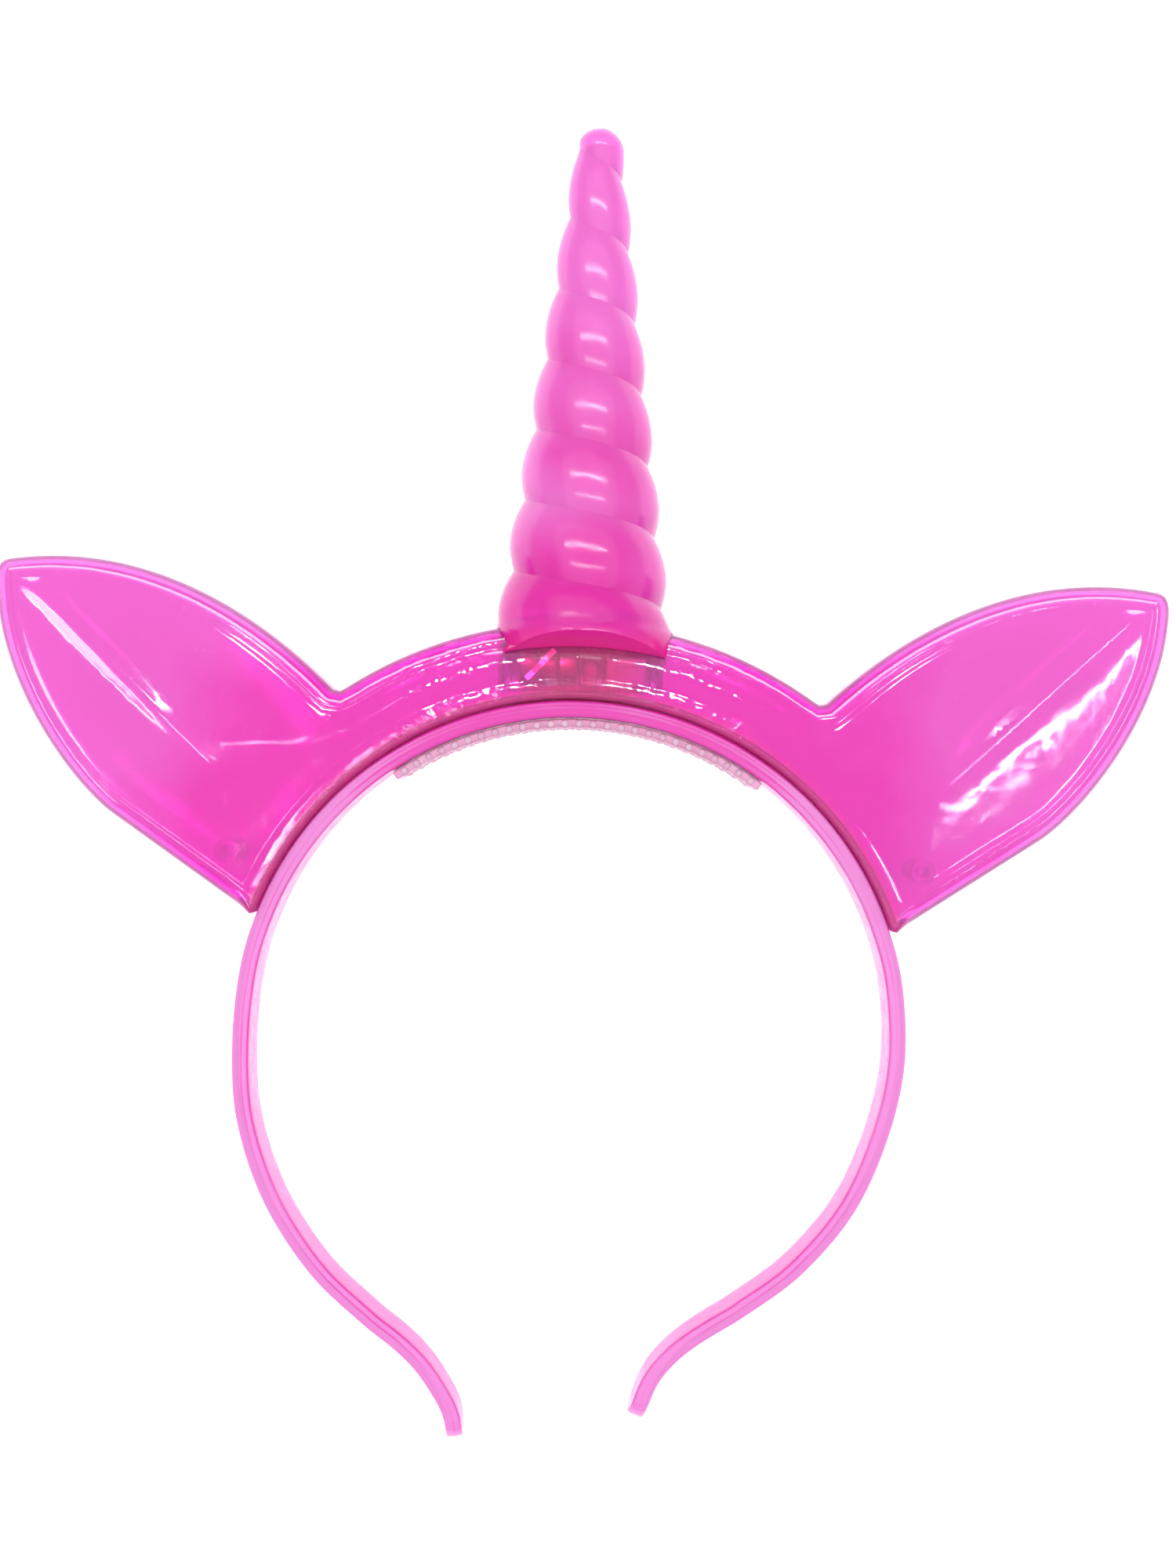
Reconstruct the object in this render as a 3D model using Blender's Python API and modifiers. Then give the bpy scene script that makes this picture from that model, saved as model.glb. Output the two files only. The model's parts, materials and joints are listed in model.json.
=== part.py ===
# Unicorn horn headband moulded in clear pink plastic: a springy hoop with a comb strip inside,
# a hollow crown of two shells with pointed ears, a grooved hollow horn and a small light unit.
# The pieces are modelled in the headband's own frame: X to the right as seen from the front, Y
# towards the horn's tip, Z towards the front, with the hoop's centre at zero. At the end the
# whole thing is laid on its back, as it rests on a table by itself.

import math

import bmesh
import bpy
import numpy as np
from mathutils import Matrix, Vector
from mathutils.geometry import delaunay_2d_cdt

MM = 0.001

# Fit between pieces that touch
SEAT_GAP = 0.3 * MM

# Hoop: a curved strip, wide on the head and narrower at its two ends
HOOP_RADIUS = 65.1 * MM
STRIP_THICKNESS = 3.3 * MM
STRIP_WIDTH_TOP = 15.0 * MM
STRIP_WIDTH_END = 9.5 * MM
STRIP_EDGE_ROUND = 0.7 * MM
STRIP_STEP = 6.0 * MM
FULL_WIDTH_ANGLE = math.radians(45)
ARC_END_ANGLE = 80

# Course of each leg below the arc: degrees from the top, distance from the centre as a share
# of the hoop's radius. The left leg springs out a little more than the right one.
LEFT_LEG = (
    (93, 1.003),
    (106, 1.021),
    (120, 1.035),
    (134, 1.048),
    (146, 1.057),
    (152, 1.069),
    (157, 1.098),
    (161.2, 1.150),
    (164.3, 1.213),
    (165.8, 1.289),
)
RIGHT_LEG = (
    (93, 0.999),
    (106, 0.993),
    (120, 0.995),
    (134, 0.989),
    (146, 0.983),
    (152, 0.987),
    (157, 1.001),
    (161.3, 1.030),
    (165.3, 1.086),
    (168.7, 1.190),
)

# Comb strip under the top of the hoop
COMB_HALF_ANGLE = math.radians(35.5)
COMB_BASE_THICKNESS = 1.5 * MM
COMB_BASE_WIDTH = 12.4 * MM
COMB_DEPTH = 2.1 * MM
NUB_PITCH = 2.8 * MM
NUB_ROW_PITCH = 4.2 * MM
NUB_ROWS = 3
NUB_RADIUS_ROOT = 0.85 * MM
NUB_RADIUS_TIP = 0.5 * MM
NUB_SIDES = 6

# Crown: an arc over the hoop with an ear at each end, in two shells that meet at mid depth
CROWN_WALL = 1.5 * MM
SHOULDER_WIDTH = 3.7 * MM
SHOULDER_RISE = 4.0 * MM
SHOULDER_LOOPS = (0.3, 1.0)
FACE_RISE = 1.4 * MM
FACE_RUN = 9.0 * MM
NOTCH_ROUND = 1.5 * MM
CORNER_ROUND = 0.9 * MM
EAR_LEAN = math.radians(52.9)
EAR_LENGTH = 64.2 * MM
EAR_WIDTH = 50.0 * MM
CREST_HEIGHT = 1.0 * MM
CREST_HALF_WIDTH = 4.2 * MM
OUTLINE_STEP = 6.5 * MM
OUTLINE_TURN = math.radians(15)
FACE_STEP = 8.0 * MM

# Ear outline as shares: along is counted from the crown's arc in ear lengths, across from the
# ear's axis in ear widths, positive towards the horn. Each edge is one Bezier curve.
EAR_UPPER_EDGE = ((-0.040, 0.491), (0.299, 0.539), (0.706, 0.481), (0.996, 0.086))
EAR_TIP = (1.030, 0.044)
EAR_LOWER_EDGE = ((0.965, -0.042), (0.775, -0.324), (0.424, -0.452), (0.257, -0.448))
EAR_FOOT = (-0.282, -0.410)
CREST_FROM = (1.000, 0.030)
CREST_TO = (0.100, -0.125)

# Posts inside the ears, one near each lower corner
POST_PLACE = (-0.098, -0.276)
POST_RADIUS = 2.4 * MM
POST_BORE_RADIUS = 1.2 * MM
POST_BORE_DEPTH = 8.0 * MM
POST_ROOT = 0.8 * MM

# Flat pad on the back of the crown, behind the light unit
PAD_RISE = 0.5 * MM
PAD_WIDTH = 6.0 * MM
PAD_HALF_ANGLE = math.radians(12.5)
PAD_ROOT = 0.9 * MM

# Horn: a tapered hollow cone with one left-handed groove wound round it
HORN_LENGTH = 99.5 * MM
HORN_RADIUS_BASE = 17.6 * MM
HORN_RADIUS_TIP = 5.0 * MM
HORN_WALL = 1.2 * MM
HORN_LEAN = math.radians(0.2)
GROOVE_PITCH = 14.25 * MM
GROOVE_START = 3.2 * MM
GROOVE_DEPTH_BASE = 1.9 * MM
GROOVE_DEPTH_TIP = 1.1 * MM
HORN_SIDES = 24
HORN_LAP = 5.1 * MM
HORN_LAP_SLOPE = 0.27
FOOT_FLARE = 0.8 * MM
FOOT_FLARE_HEIGHT = 2.4 * MM
FOOT_FLARE_LEVEL = -2.2 * MM
HORN_TIP_SOLID = 4.0 * MM
LIGHT_WELL_RADIUS = 6.0 * MM
TURN_ROWS = (0.0, 0.18, 0.5, 0.82)

# Light unit inside the crown
CELL_RADIUS = 3.95 * MM
CELL_THICKNESS = 3.6 * MM
CELL_COUNT = 3
CELL_EDGE_ROUND = 0.3 * MM
CELLS_END = -0.8 * MM
HOLDER_LENGTH = 33.0 * MM
HOLDER_WALL = 0.7 * MM
HOLDER_DEPTH = 8.0 * MM
HOLDER_HEADROOM = 0.45 * MM
LAMP_PLACE = 1.9 * MM
LAMP_RADIUS = 1.5 * MM
LAMP_FLANGE_RADIUS = 1.9 * MM
LAMP_FLANGE_HEIGHT = 0.8 * MM
LAMP_HEIGHT = 5.2 * MM
BLOCK_PLACE = 9.0 * MM
BLOCK_LENGTH = 8.0 * MM
BLOCK_HEIGHT = 5.8 * MM
BLOCK_DEPTH = 7.2 * MM
BLOCK_EDGE_ROUND = 0.6 * MM
CONTACT_WIDTH = 1.1 * MM
CONTACT_THICKNESS = 0.3 * MM
CONTACT_RUN = 5.5 * MM

# Colours, roughness and how much light passes through
CLEAR_PINK = (0.93, 0.10, 0.55)
PALE_CLEAR = (0.90, 0.66, 0.78)


def clear_scene():
    for item in list(bpy.data.objects):
        bpy.data.objects.remove(item, do_unlink=True)


def new_collection(name):
    collection = bpy.data.collections.new(name)
    bpy.context.scene.collection.children.link(collection)
    return collection


def make_material(name, color, roughness, metallic=0.0, transmission=0.0):
    material = bpy.data.materials.new(name)
    material.use_nodes = True
    shader = material.node_tree.nodes["Principled BSDF"]
    shader.inputs["Base Color"].default_value = (*color, 1.0)
    shader.inputs["Roughness"].default_value = roughness
    shader.inputs["Metallic"].default_value = metallic
    shader.inputs["Transmission Weight"].default_value = transmission
    return material


def add_object(name, form, collection, material=None):
    # turns a bmesh into a named object
    mesh = bpy.data.meshes.new(name)
    form.to_mesh(mesh)
    form.free()
    piece = bpy.data.objects.new(name, mesh)
    collection.objects.link(piece)
    if material is not None:
        mesh.materials.append(material)
    return piece


def add_cutter(name, form, collection):
    cutter = add_object(name, form, collection)
    cutter.hide_render = True
    cutter.display_type = "WIRE"
    return cutter


def add_boolean(piece, cutter, operation):
    step = piece.modifiers.new(cutter.name, "BOOLEAN")
    step.operation = operation
    step.object = cutter


def add_solidify(piece, thickness, offset):
    step = piece.modifiers.new("wall", "SOLIDIFY")
    step.thickness = thickness
    step.offset = offset
    step.use_even_offset = True


def add_bevel(piece, width, segments):
    step = piece.modifiers.new("edges", "BEVEL")
    step.width = width
    step.segments = segments
    step.limit_method = "ANGLE"
    step.angle_limit = math.radians(35)


def shade_round(piece):
    piece.data.shade_smooth()
    piece.data.set_sharp_from_angle(angle=math.radians(35))


# Plane curves

def on_circle(radius, angle):
    # a point at an angle from the top, clockwise
    return Vector((radius * math.sin(angle), radius * math.cos(angle)))


def circle_run(radius, start, end, count):
    steps = [start + (end - start) * i / count for i in range(count + 1)]
    return [on_circle(radius, angle) for angle in steps]


def bezier(controls, count):
    run = []
    for i in range(count + 1):
        share = i / count
        level = list(controls)
        while len(level) > 1:
            level = [a.lerp(b, share) for a, b in zip(level, level[1:])]
        run.append(level[0])
    return run


def smooth_course(knots, per_span):
    # a smooth curve through all its knots
    ends = [knots[0] * 2 - knots[1]] + knots + [knots[-1] * 2 - knots[-2]]
    run = []
    for a, b, c, d in zip(ends, ends[1:], ends[2:], ends[3:]):
        for i in range(per_span):
            t = i / per_span
            bend = (a * -1 + b * 3 - c * 3 + d) * t ** 3 + (a * 2 - b * 5 + c * 4 - d) * t ** 2
            run.append(b + (bend + (c - a) * t) / 2)
    run.append(knots[-1].copy())
    return run


def reach_circle(start, toward, radius):
    # where the line from start through toward meets the circle
    step = (toward - start).normalized()
    middle = start.dot(step)
    return start + step * (math.sqrt(middle ** 2 - start.length_squared + radius ** 2) - middle)


def thin_out(run, longest, turn):
    # keeps the points that the shape needs
    kept = [run[0]]
    turned = 0.0
    for before, here, after in zip(run, run[1:], run[2:]):
        if (here - before).length < 1e-7 or (after - here).length < 1e-7:
            continue
        turned += abs((here - before).angle(after - here))
        if turned >= turn or (after - kept[-1]).length > longest:
            kept.append(here)
            turned = 0.0
    kept.append(run[-1])
    return kept


# Hoop

def leg_knots(table, side):
    return [Vector((side * HOOP_RADIUS * share * math.sin(math.radians(angle)),
                    HOOP_RADIUS * share * math.cos(math.radians(angle))))
            for angle, share in table]


def hoop_course():
    top = [on_circle(HOOP_RADIUS, math.radians(angle))
           for angle in range(-ARC_END_ANGLE, ARC_END_ANGLE + 1, 10)]
    knots = leg_knots(LEFT_LEG, -1)[::-1] + top + leg_knots(RIGHT_LEG, 1)
    return smooth_course(knots, 12)


def hoop_width(place, length):
    # full width on the head, then an even taper, with round ends
    full = HOOP_RADIUS * FULL_WIDTH_ANGLE
    past = max(0.0, abs(place - length / 2) - full) / (length / 2 - full)
    width = STRIP_WIDTH_TOP + (STRIP_WIDTH_END - STRIP_WIDTH_TOP) * past
    from_end = min(place, length - place)
    reach = min(1.0, from_end / (STRIP_WIDTH_END / 2))
    return width * math.sqrt(1 - (1 - reach) ** 2)


def make_hoop(collection, material):
    course = hoop_course()
    marks = [0.0]
    for a, b in zip(course, course[1:]):
        marks.append(marks[-1] + (b - a).length)
    length = marks[-1]
    end_round = STRIP_WIDTH_END / 2
    end_steps = [end_round * (1 - math.cos(math.radians(a))) for a in (24, 40, 56, 72, 90)]
    count = round((length - 2 * end_round) / STRIP_STEP)
    inner_steps = [end_round + (length - 2 * end_round) * i / count for i in range(1, count)]
    places = end_steps + inner_steps + [length - step for step in end_steps[::-1]]
    xs = np.interp(places, marks, [point.x for point in course])
    ys = np.interp(places, marks, [point.y for point in course])
    form = bmesh.new()
    bmesh.ops.create_grid(form, x_segments=len(places) - 1, y_segments=1, size=1)
    for vert in form.verts:
        index = round((vert.co.x + 1) / 2 * (len(places) - 1))
        half = hoop_width(places[index], length) / 2
        vert.co = Vector((xs[index], ys[index], vert.co.y * half))
    hoop = add_object("headband", form, collection, material)
    add_solidify(hoop, STRIP_THICKNESS, 0.0)
    add_bevel(hoop, STRIP_EDGE_ROUND, 2)
    shade_round(hoop)
    return hoop


# Comb strip

def comb_radius():
    # middle of the comb's base, just inside the hoop
    return HOOP_RADIUS - STRIP_THICKNESS / 2 - SEAT_GAP - COMB_BASE_THICKNESS / 2


def make_comb(collection, cutters, material):
    radius = comb_radius()
    form = bmesh.new()
    bmesh.ops.create_grid(form, x_segments=20, y_segments=1, size=1)
    for vert in form.verts:
        spot = on_circle(radius, vert.co.x * COMB_HALF_ANGLE)
        vert.co = Vector((spot.x, spot.y, vert.co.y * COMB_BASE_WIDTH / 2))
    comb = add_object("comb_strip", form, collection, material)
    add_solidify(comb, COMB_BASE_THICKNESS, 0.0)

    nubs = bmesh.new()
    top = radius - COMB_BASE_THICKNESS / 2
    tip = HOOP_RADIUS - STRIP_THICKNESS / 2 - SEAT_GAP - COMB_DEPTH
    root = COMB_BASE_THICKNESS / 2
    count = int(2 * COMB_HALF_ANGLE * radius / NUB_PITCH)
    step = NUB_PITCH / radius
    for row in range(NUB_ROWS):
        across = (row - (NUB_ROWS - 1) / 2) * NUB_ROW_PITCH
        in_row = count - row % 2
        for i in range(in_row):
            angle = (i - (in_row - 1) / 2) * step
            middle = on_circle((top + root + tip) / 2, angle)
            turn = Matrix.Rotation(-angle, 4, "Z") @ Matrix.Rotation(math.radians(90), 4, "X")
            place = Matrix.Translation((middle.x, middle.y, across)) @ turn
            bmesh.ops.create_cone(nubs, cap_ends=True, segments=NUB_SIDES,
                                  radius1=NUB_RADIUS_ROOT, radius2=NUB_RADIUS_TIP,
                                  depth=top + root - tip, matrix=place)
    add_boolean(comb, add_cutter("comb_nubs", nubs, cutters), "UNION")
    return comb


# Crown

def crown_inner_radius():
    return HOOP_RADIUS + STRIP_THICKNESS / 2 + SEAT_GAP


def holder_floor():
    # lowest level of the light unit, just over the crown's inner wall
    return crown_inner_radius() + CROWN_WALL + SEAT_GAP


def holder_half_height():
    return CELL_RADIUS + SEAT_GAP + HOLDER_WALL


def crown_radius():
    # outer radius of the arc, which clears the upper corners of the light unit inside it
    holder_top = holder_floor() + 2 * holder_half_height()
    return math.hypot(HOLDER_LENGTH / 2, holder_top) + HOLDER_HEADROOM + CROWN_WALL


def rim_height():
    # level where the shoulder starts, so that its inside, which is flat up to the first loop,
    # clears the light unit's lower edge
    share = SEAT_GAP / (SHOULDER_WIDTH - CROWN_WALL) / SHOULDER_LOOPS[0]
    loop_rise = (SHOULDER_RISE - CROWN_WALL) * math.sqrt(1 - (1 - SHOULDER_LOOPS[0]) ** 2)
    return holder_half_height() + SEAT_GAP - share * loop_rise


def ear_point(along, across):
    # a point of the ear on the +X side, from shares of its length and width
    axis = on_circle(1.0, EAR_LEAN)
    side = Vector((-axis.y, axis.x))
    return axis * (crown_radius() + along * EAR_LENGTH) + side * (across * EAR_WIDTH)


def crown_half_outline():
    inner = crown_inner_radius()
    upper = [ear_point(*row) for row in EAR_UPPER_EDGE]
    lower = [ear_point(*row) for row in EAR_LOWER_EDGE]
    notch_angle = math.atan2(upper[0].x, upper[0].y)
    notch = on_circle(crown_radius(), notch_angle)
    upper[0] = notch + (upper[1] - notch).normalized() * NOTCH_ROUND
    arc = circle_run(crown_radius(), 0.0, notch_angle - NOTCH_ROUND / crown_radius(), 40)
    foot = reach_circle(ear_point(*EAR_FOOT), lower[-1], inner)
    foot_angle = math.atan2(foot.x, foot.y)
    above_foot = foot + (lower[-1] - foot).normalized() * CORNER_ROUND
    base = circle_run(inner, foot_angle - CORNER_ROUND / inner, 0.0, 60)
    run = arc
    run += bezier([arc[-1], notch, upper[0]], 6)[1:]
    run += bezier(upper, 40)[1:]
    run += bezier([upper[-1], ear_point(*EAR_TIP), lower[0]], 10)[1:]
    run += bezier(lower, 40)[1:]
    run += bezier([lower[-1], lower[-1].lerp(above_foot, 0.5), above_foot], 8)[1:]
    run += bezier([above_foot, foot, base[0]], 4)[1:]
    run += base[1:]
    return run


def crown_outline():
    half = thin_out(crown_half_outline(), OUTLINE_STEP, OUTLINE_TURN)
    other = [Vector((-point.x, point.y)) for point in half[-2:0:-1]]
    return np.array([(point.x, point.y) for point in half + other])


def edge_distance(points, outline):
    # distance of each point to the closed outline
    points = np.asarray(points, dtype=float).reshape(-1, 2)
    start = outline
    run = np.roll(outline, -1, axis=0) - start
    share = np.einsum("ijk,jk->ij", points[:, None] - start[None], run) / (run ** 2).sum(axis=1)
    nearest = start[None] + np.clip(share, 0, 1)[..., None] * run[None]
    return np.sqrt(((points[:, None] - nearest) ** 2).sum(axis=2)).min(axis=1)


def inside(points, outline):
    # counts how often a line to the right crosses the outline
    x, y = points[:, 0][:, None], points[:, 1][:, None]
    x0, y0 = outline[:, 0], outline[:, 1]
    x1, y1 = np.roll(x0, -1), np.roll(y0, -1)
    crosses = (y0 > y) != (y1 > y)
    rise = np.where(y1 == y0, 1.0, y1 - y0)
    return (crosses & (x < (x1 - x0) * (y - y0) / rise + x0)).sum(axis=1) % 2 == 1


def inset_loop(outline, amount):
    # the outline moved inwards, without the points that would cross over
    run = np.roll(outline, -1, axis=0) - np.roll(outline, 1, axis=0)
    normal = np.stack([run[:, 1], -run[:, 0]], axis=1)
    normal /= np.linalg.norm(normal, axis=1)[:, None]
    moved = outline + normal * amount
    clear = (edge_distance(moved, outline) > amount * 0.97) & inside(moved, outline)
    loop = moved[clear]
    kept = [loop[0]]
    for point in loop[1:]:
        if np.linalg.norm(point - kept[-1]) > OUTLINE_STEP / 5:
            kept.append(point)
    return np.array(kept)


def shell_height(distance, inset):
    # height of a shell's surface over the seam at a distance from the rim: a quarter-round
    # shoulder and then a soft rise. A surface inside the wall has a positive inset.
    width = SHOULDER_WIDTH - inset
    rise = SHOULDER_RISE - inset
    share = np.clip((np.asarray(distance) - inset) / width, 0, 1)
    run = np.clip((np.asarray(distance) - SHOULDER_WIDTH) / FACE_RUN, 0, 1)
    soft = run * run * (3 - 2 * run)
    return rim_height() + rise * np.sqrt(1 - (1 - share) ** 2) + FACE_RISE * soft


def crest_height(points, distance):
    # the soft ridge that runs from each ear's tip into its middle
    mirrored = np.stack([np.abs(points[:, 0]), points[:, 1]], axis=1)
    start = np.array(ear_point(*CREST_FROM))
    run = np.array(ear_point(*CREST_TO)) - start
    along = ((mirrored - start) @ run) / (run @ run)
    nearest = start + np.clip(along, 0, 1)[:, None] * run
    away = np.linalg.norm(mirrored - nearest, axis=1)
    near_rim = np.clip((distance - SHOULDER_WIDTH) / SHOULDER_WIDTH, 0, 1)
    fade = np.clip((1.25 - along) / 0.5, 0, 1)
    return CREST_HEIGHT * np.exp(-(away / CREST_HALF_WIDTH) ** 2) * near_rim * fade


def surface_height(points, inset):
    points = np.asarray(points, dtype=float).reshape(-1, 2)
    distance = edge_distance(points, crown_outline())
    return shell_height(distance, inset) + crest_height(points, distance)


def face_points(outline, inset):
    # loops along the shoulder and an even field of points over the face
    loops = []
    for share in SHOULDER_LOOPS:
        loops.append(inset_loop(outline, inset + (SHOULDER_WIDTH - inset) * share))
    low = outline.min(axis=0)
    high = outline.max(axis=0)
    field = []
    rows = int((high[1] - low[1]) / (FACE_STEP * math.sqrt(0.75))) + 1
    for row in range(rows):
        columns = int((high[0] - low[0]) / FACE_STEP) + 2
        for column in range(columns):
            x = (column - (columns - 1) / 2 + 0.5 * (row % 2)) * FACE_STEP
            field.append((x, low[1] + row * FACE_STEP * math.sqrt(0.75)))
    field = np.array(field)
    clear = edge_distance(field, outline) > SHOULDER_WIDTH + FACE_STEP * 0.45
    return loops, field[clear & inside(field, outline)]


def crown_block(inset, floor):
    # a solid with the crown's outline: a flat floor, upright sides and the shaped face
    outline = crown_outline()
    loops, field = face_points(outline, inset)
    border = outline if inset == 0 else inset_loop(outline, inset)
    points = []
    edges = []
    for loop in [border] + loops:
        first = len(points)
        points += [Vector(point) for point in loop]
        edges += [(first + i, first + (i + 1) % len(loop)) for i in range(len(loop))]
    points += [Vector(point) for point in field]
    spots, _, faces, _, _, _ = delaunay_2d_cdt(points, edges, [], 1, 1e-7)
    flat = np.array([(spot.x, spot.y) for spot in spots])
    heights = surface_height(flat, inset)
    form = bmesh.new()
    verts = [form.verts.new((x, y, z)) for (x, y), z in zip(flat, heights)]
    for face in faces:
        form.faces.new([verts[i] for i in face])
    rim = [edge for edge in form.edges if edge.is_boundary]
    side = bmesh.ops.extrude_edge_only(form, edges=rim)["geom"]
    for vert in [item for item in side if isinstance(item, bmesh.types.BMVert)]:
        vert.co.z = floor
    bmesh.ops.holes_fill(form, edges=[edge for edge in form.edges if edge.is_boundary], sides=0)
    bmesh.ops.recalc_face_normals(form, faces=form.faces)
    return form


def turn_to_back(form):
    bmesh.ops.scale(form, vec=(1, 1, -1), verts=form.verts)
    bmesh.ops.reverse_faces(form, faces=form.faces)
    return form


def make_crown_front(collection, cutters, material):
    form = crown_block(0.0, SEAT_GAP / 2)
    front = add_object("crown_front", form, collection, material)
    hollow = crown_block(CROWN_WALL, -CROWN_WALL)
    add_boolean(front, add_cutter("front_hollow", hollow, cutters), "DIFFERENCE")
    shade_round(front)
    return front


def pad_block():
    # a curved bar with a flat face, rooted in the wall of the back shell
    middle = crown_radius() - HORN_LAP - SEAT_GAP - PAD_WIDTH / 2
    face = float(shell_height(crown_radius() - middle, 0.0)) + PAD_RISE
    root = face - PAD_RISE - PAD_ROOT
    form = bmesh.new()
    bmesh.ops.create_grid(form, x_segments=12, y_segments=1, size=1)
    for vert in form.verts:
        radius = middle + vert.co.y * PAD_WIDTH / 2
        spot = on_circle(radius, vert.co.x * PAD_HALF_ANGLE)
        vert.co = Vector((spot.x, spot.y, -face))
    sides = bmesh.ops.extrude_face_region(form, geom=form.faces[:])["geom"]
    for vert in [item for item in sides if isinstance(item, bmesh.types.BMVert)]:
        vert.co.z = -root
    bmesh.ops.recalc_face_normals(form, faces=form.faces)
    return form


def post_forms():
    # round posts and their blind bores, one pair in each ear
    place = ear_point(*POST_PLACE)
    around = [place + on_circle(POST_RADIUS, math.radians(angle)) for angle in range(0, 360, 30)]
    roof = surface_height(around, CROWN_WALL).min() - SEAT_GAP
    root = -(surface_height(around, CROWN_WALL).min() + POST_ROOT)
    posts = bmesh.new()
    bores = bmesh.new()
    for side in (-1, 1):
        middle = Matrix.Translation((side * place.x, place.y, (roof + root) / 2))
        bmesh.ops.create_cone(posts, cap_ends=True, segments=16, radius1=POST_RADIUS,
                              radius2=POST_RADIUS, depth=roof - root, matrix=middle)
        middle = Matrix.Translation((side * place.x, place.y, roof))
        bmesh.ops.create_cone(bores, cap_ends=True, segments=16, radius1=POST_BORE_RADIUS,
                              radius2=POST_BORE_RADIUS, depth=2 * POST_BORE_DEPTH, matrix=middle)
    return posts, bores


def make_crown_back(collection, cutters, material):
    form = turn_to_back(crown_block(0.0, SEAT_GAP / 2))
    back = add_object("crown_back", form, collection, material)
    hollow = turn_to_back(crown_block(CROWN_WALL, -CROWN_WALL))
    add_boolean(back, add_cutter("back_hollow", hollow, cutters), "DIFFERENCE")
    add_boolean(back, add_cutter("back_pad", pad_block(), cutters), "UNION")
    posts, bores = post_forms()
    add_boolean(back, add_cutter("back_posts", posts, cutters), "UNION")
    add_boolean(back, add_cutter("back_post_bores", bores, cutters), "DIFFERENCE")
    shade_round(back)
    return back


# Horn

def horn_radius(level, share_of_turn):
    # radius at a level over the crown's top, for a place between two turns of the groove
    share = level / (HORN_LENGTH - HORN_RADIUS_TIP)
    round_share = min(1.0, share)
    body = HORN_RADIUS_BASE + (HORN_RADIUS_TIP - HORN_RADIUS_BASE) * round_share
    depth = GROOVE_DEPTH_BASE + (GROOVE_DEPTH_TIP - GROOVE_DEPTH_BASE) * max(0.0, round_share)
    over = max(0.0, level - (HORN_LENGTH - HORN_RADIUS_TIP)) / HORN_RADIUS_TIP
    depth *= 1 - over
    cap = math.sqrt(max(0.0, 1 - over ** 2))
    flare_share = max(0.0, 1 - (level - FOOT_FLARE_LEVEL) / FOOT_FLARE_HEIGHT)
    flare = FOOT_FLARE * min(1.0, flare_share) ** 2
    return (body - depth * (2 * share_of_turn - 1) ** 2) * cap + flare


def horn_block():
    # a grid that follows the groove, so that its crease is one sharp edge
    bottom = -(HORN_LAP + 3 * MM)
    rows_per_turn = len(TURN_ROWS)
    first_turn = math.floor((bottom - GROOVE_START) / GROOVE_PITCH) - 1
    last_turn = math.ceil((HORN_LENGTH - GROOVE_START) / GROOVE_PITCH)
    grid = {}
    form = bmesh.new()
    for turn in range(first_turn, last_turn + 1):
        for row, share in enumerate(TURN_ROWS):
            for side in range(HORN_SIDES):
                winding = turn + share + side / HORN_SIDES
                level = GROOVE_START + GROOVE_PITCH * winding
                level = min(max(level, bottom), HORN_LENGTH)
                turned = (level - GROOVE_START) / GROOVE_PITCH - side / HORN_SIDES
                radius = horn_radius(level, turned % 1)
                angle = 2 * math.pi * side / HORN_SIDES
                spot = (radius * math.cos(angle), crown_radius() + level, radius * math.sin(angle))
                grid[turn * rows_per_turn + row, side] = form.verts.new(spot)
    lines = sorted({key[0] for key in grid})
    for line in lines[:-rows_per_turn - 1]:
        for side in range(HORN_SIDES):
            last = side + 1 == HORN_SIDES
            next_side = 0 if last else side + 1
            shift = rows_per_turn if last else 0
            form.faces.new((grid[line, side], grid[line + 1, side],
                            grid[line + 1 + shift, next_side], grid[line + shift, next_side]))
    loose = [vert for vert in form.verts if not vert.link_faces]
    bmesh.ops.delete(form, geom=loose, context="VERTS")
    bmesh.ops.remove_doubles(form, verts=form.verts, dist=1e-6)
    bmesh.ops.dissolve_degenerate(form, edges=form.edges, dist=1e-6)
    bmesh.ops.holes_fill(form, edges=[edge for edge in form.edges if edge.is_boundary], sides=0)
    bmesh.ops.recalc_face_normals(form, faces=form.faces)
    return form


def upright_cone(start, end, wide, narrow, sides):
    # a cone along the horn's axis between two levels over the crown's top
    upright = Matrix.Rotation(math.radians(-90), 4, "X")
    middle = Matrix.Translation((0, crown_radius() + (start + end) / 2, 0)) @ upright
    form = bmesh.new()
    bmesh.ops.create_cone(form, cap_ends=True, segments=sides, radius1=wide, radius2=narrow,
                          depth=end - start, matrix=middle)
    return form


def horn_hollow():
    # a plain cone that leaves the wall, with a narrow well for the lamp's light under it
    start = SEAT_GAP + HORN_WALL
    end = HORN_LENGTH - HORN_TIP_SOLID
    wide = horn_radius(start, 0.0) - HORN_WALL
    narrow = horn_radius(end, 0.0) - HORN_WALL
    return upright_cone(start, end, wide, narrow, HORN_SIDES)


def horn_well():
    end = SEAT_GAP + HORN_WALL * 2
    return upright_cone(-HORN_LAP, end, LIGHT_WELL_RADIUS, LIGHT_WELL_RADIUS, 20)


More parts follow.
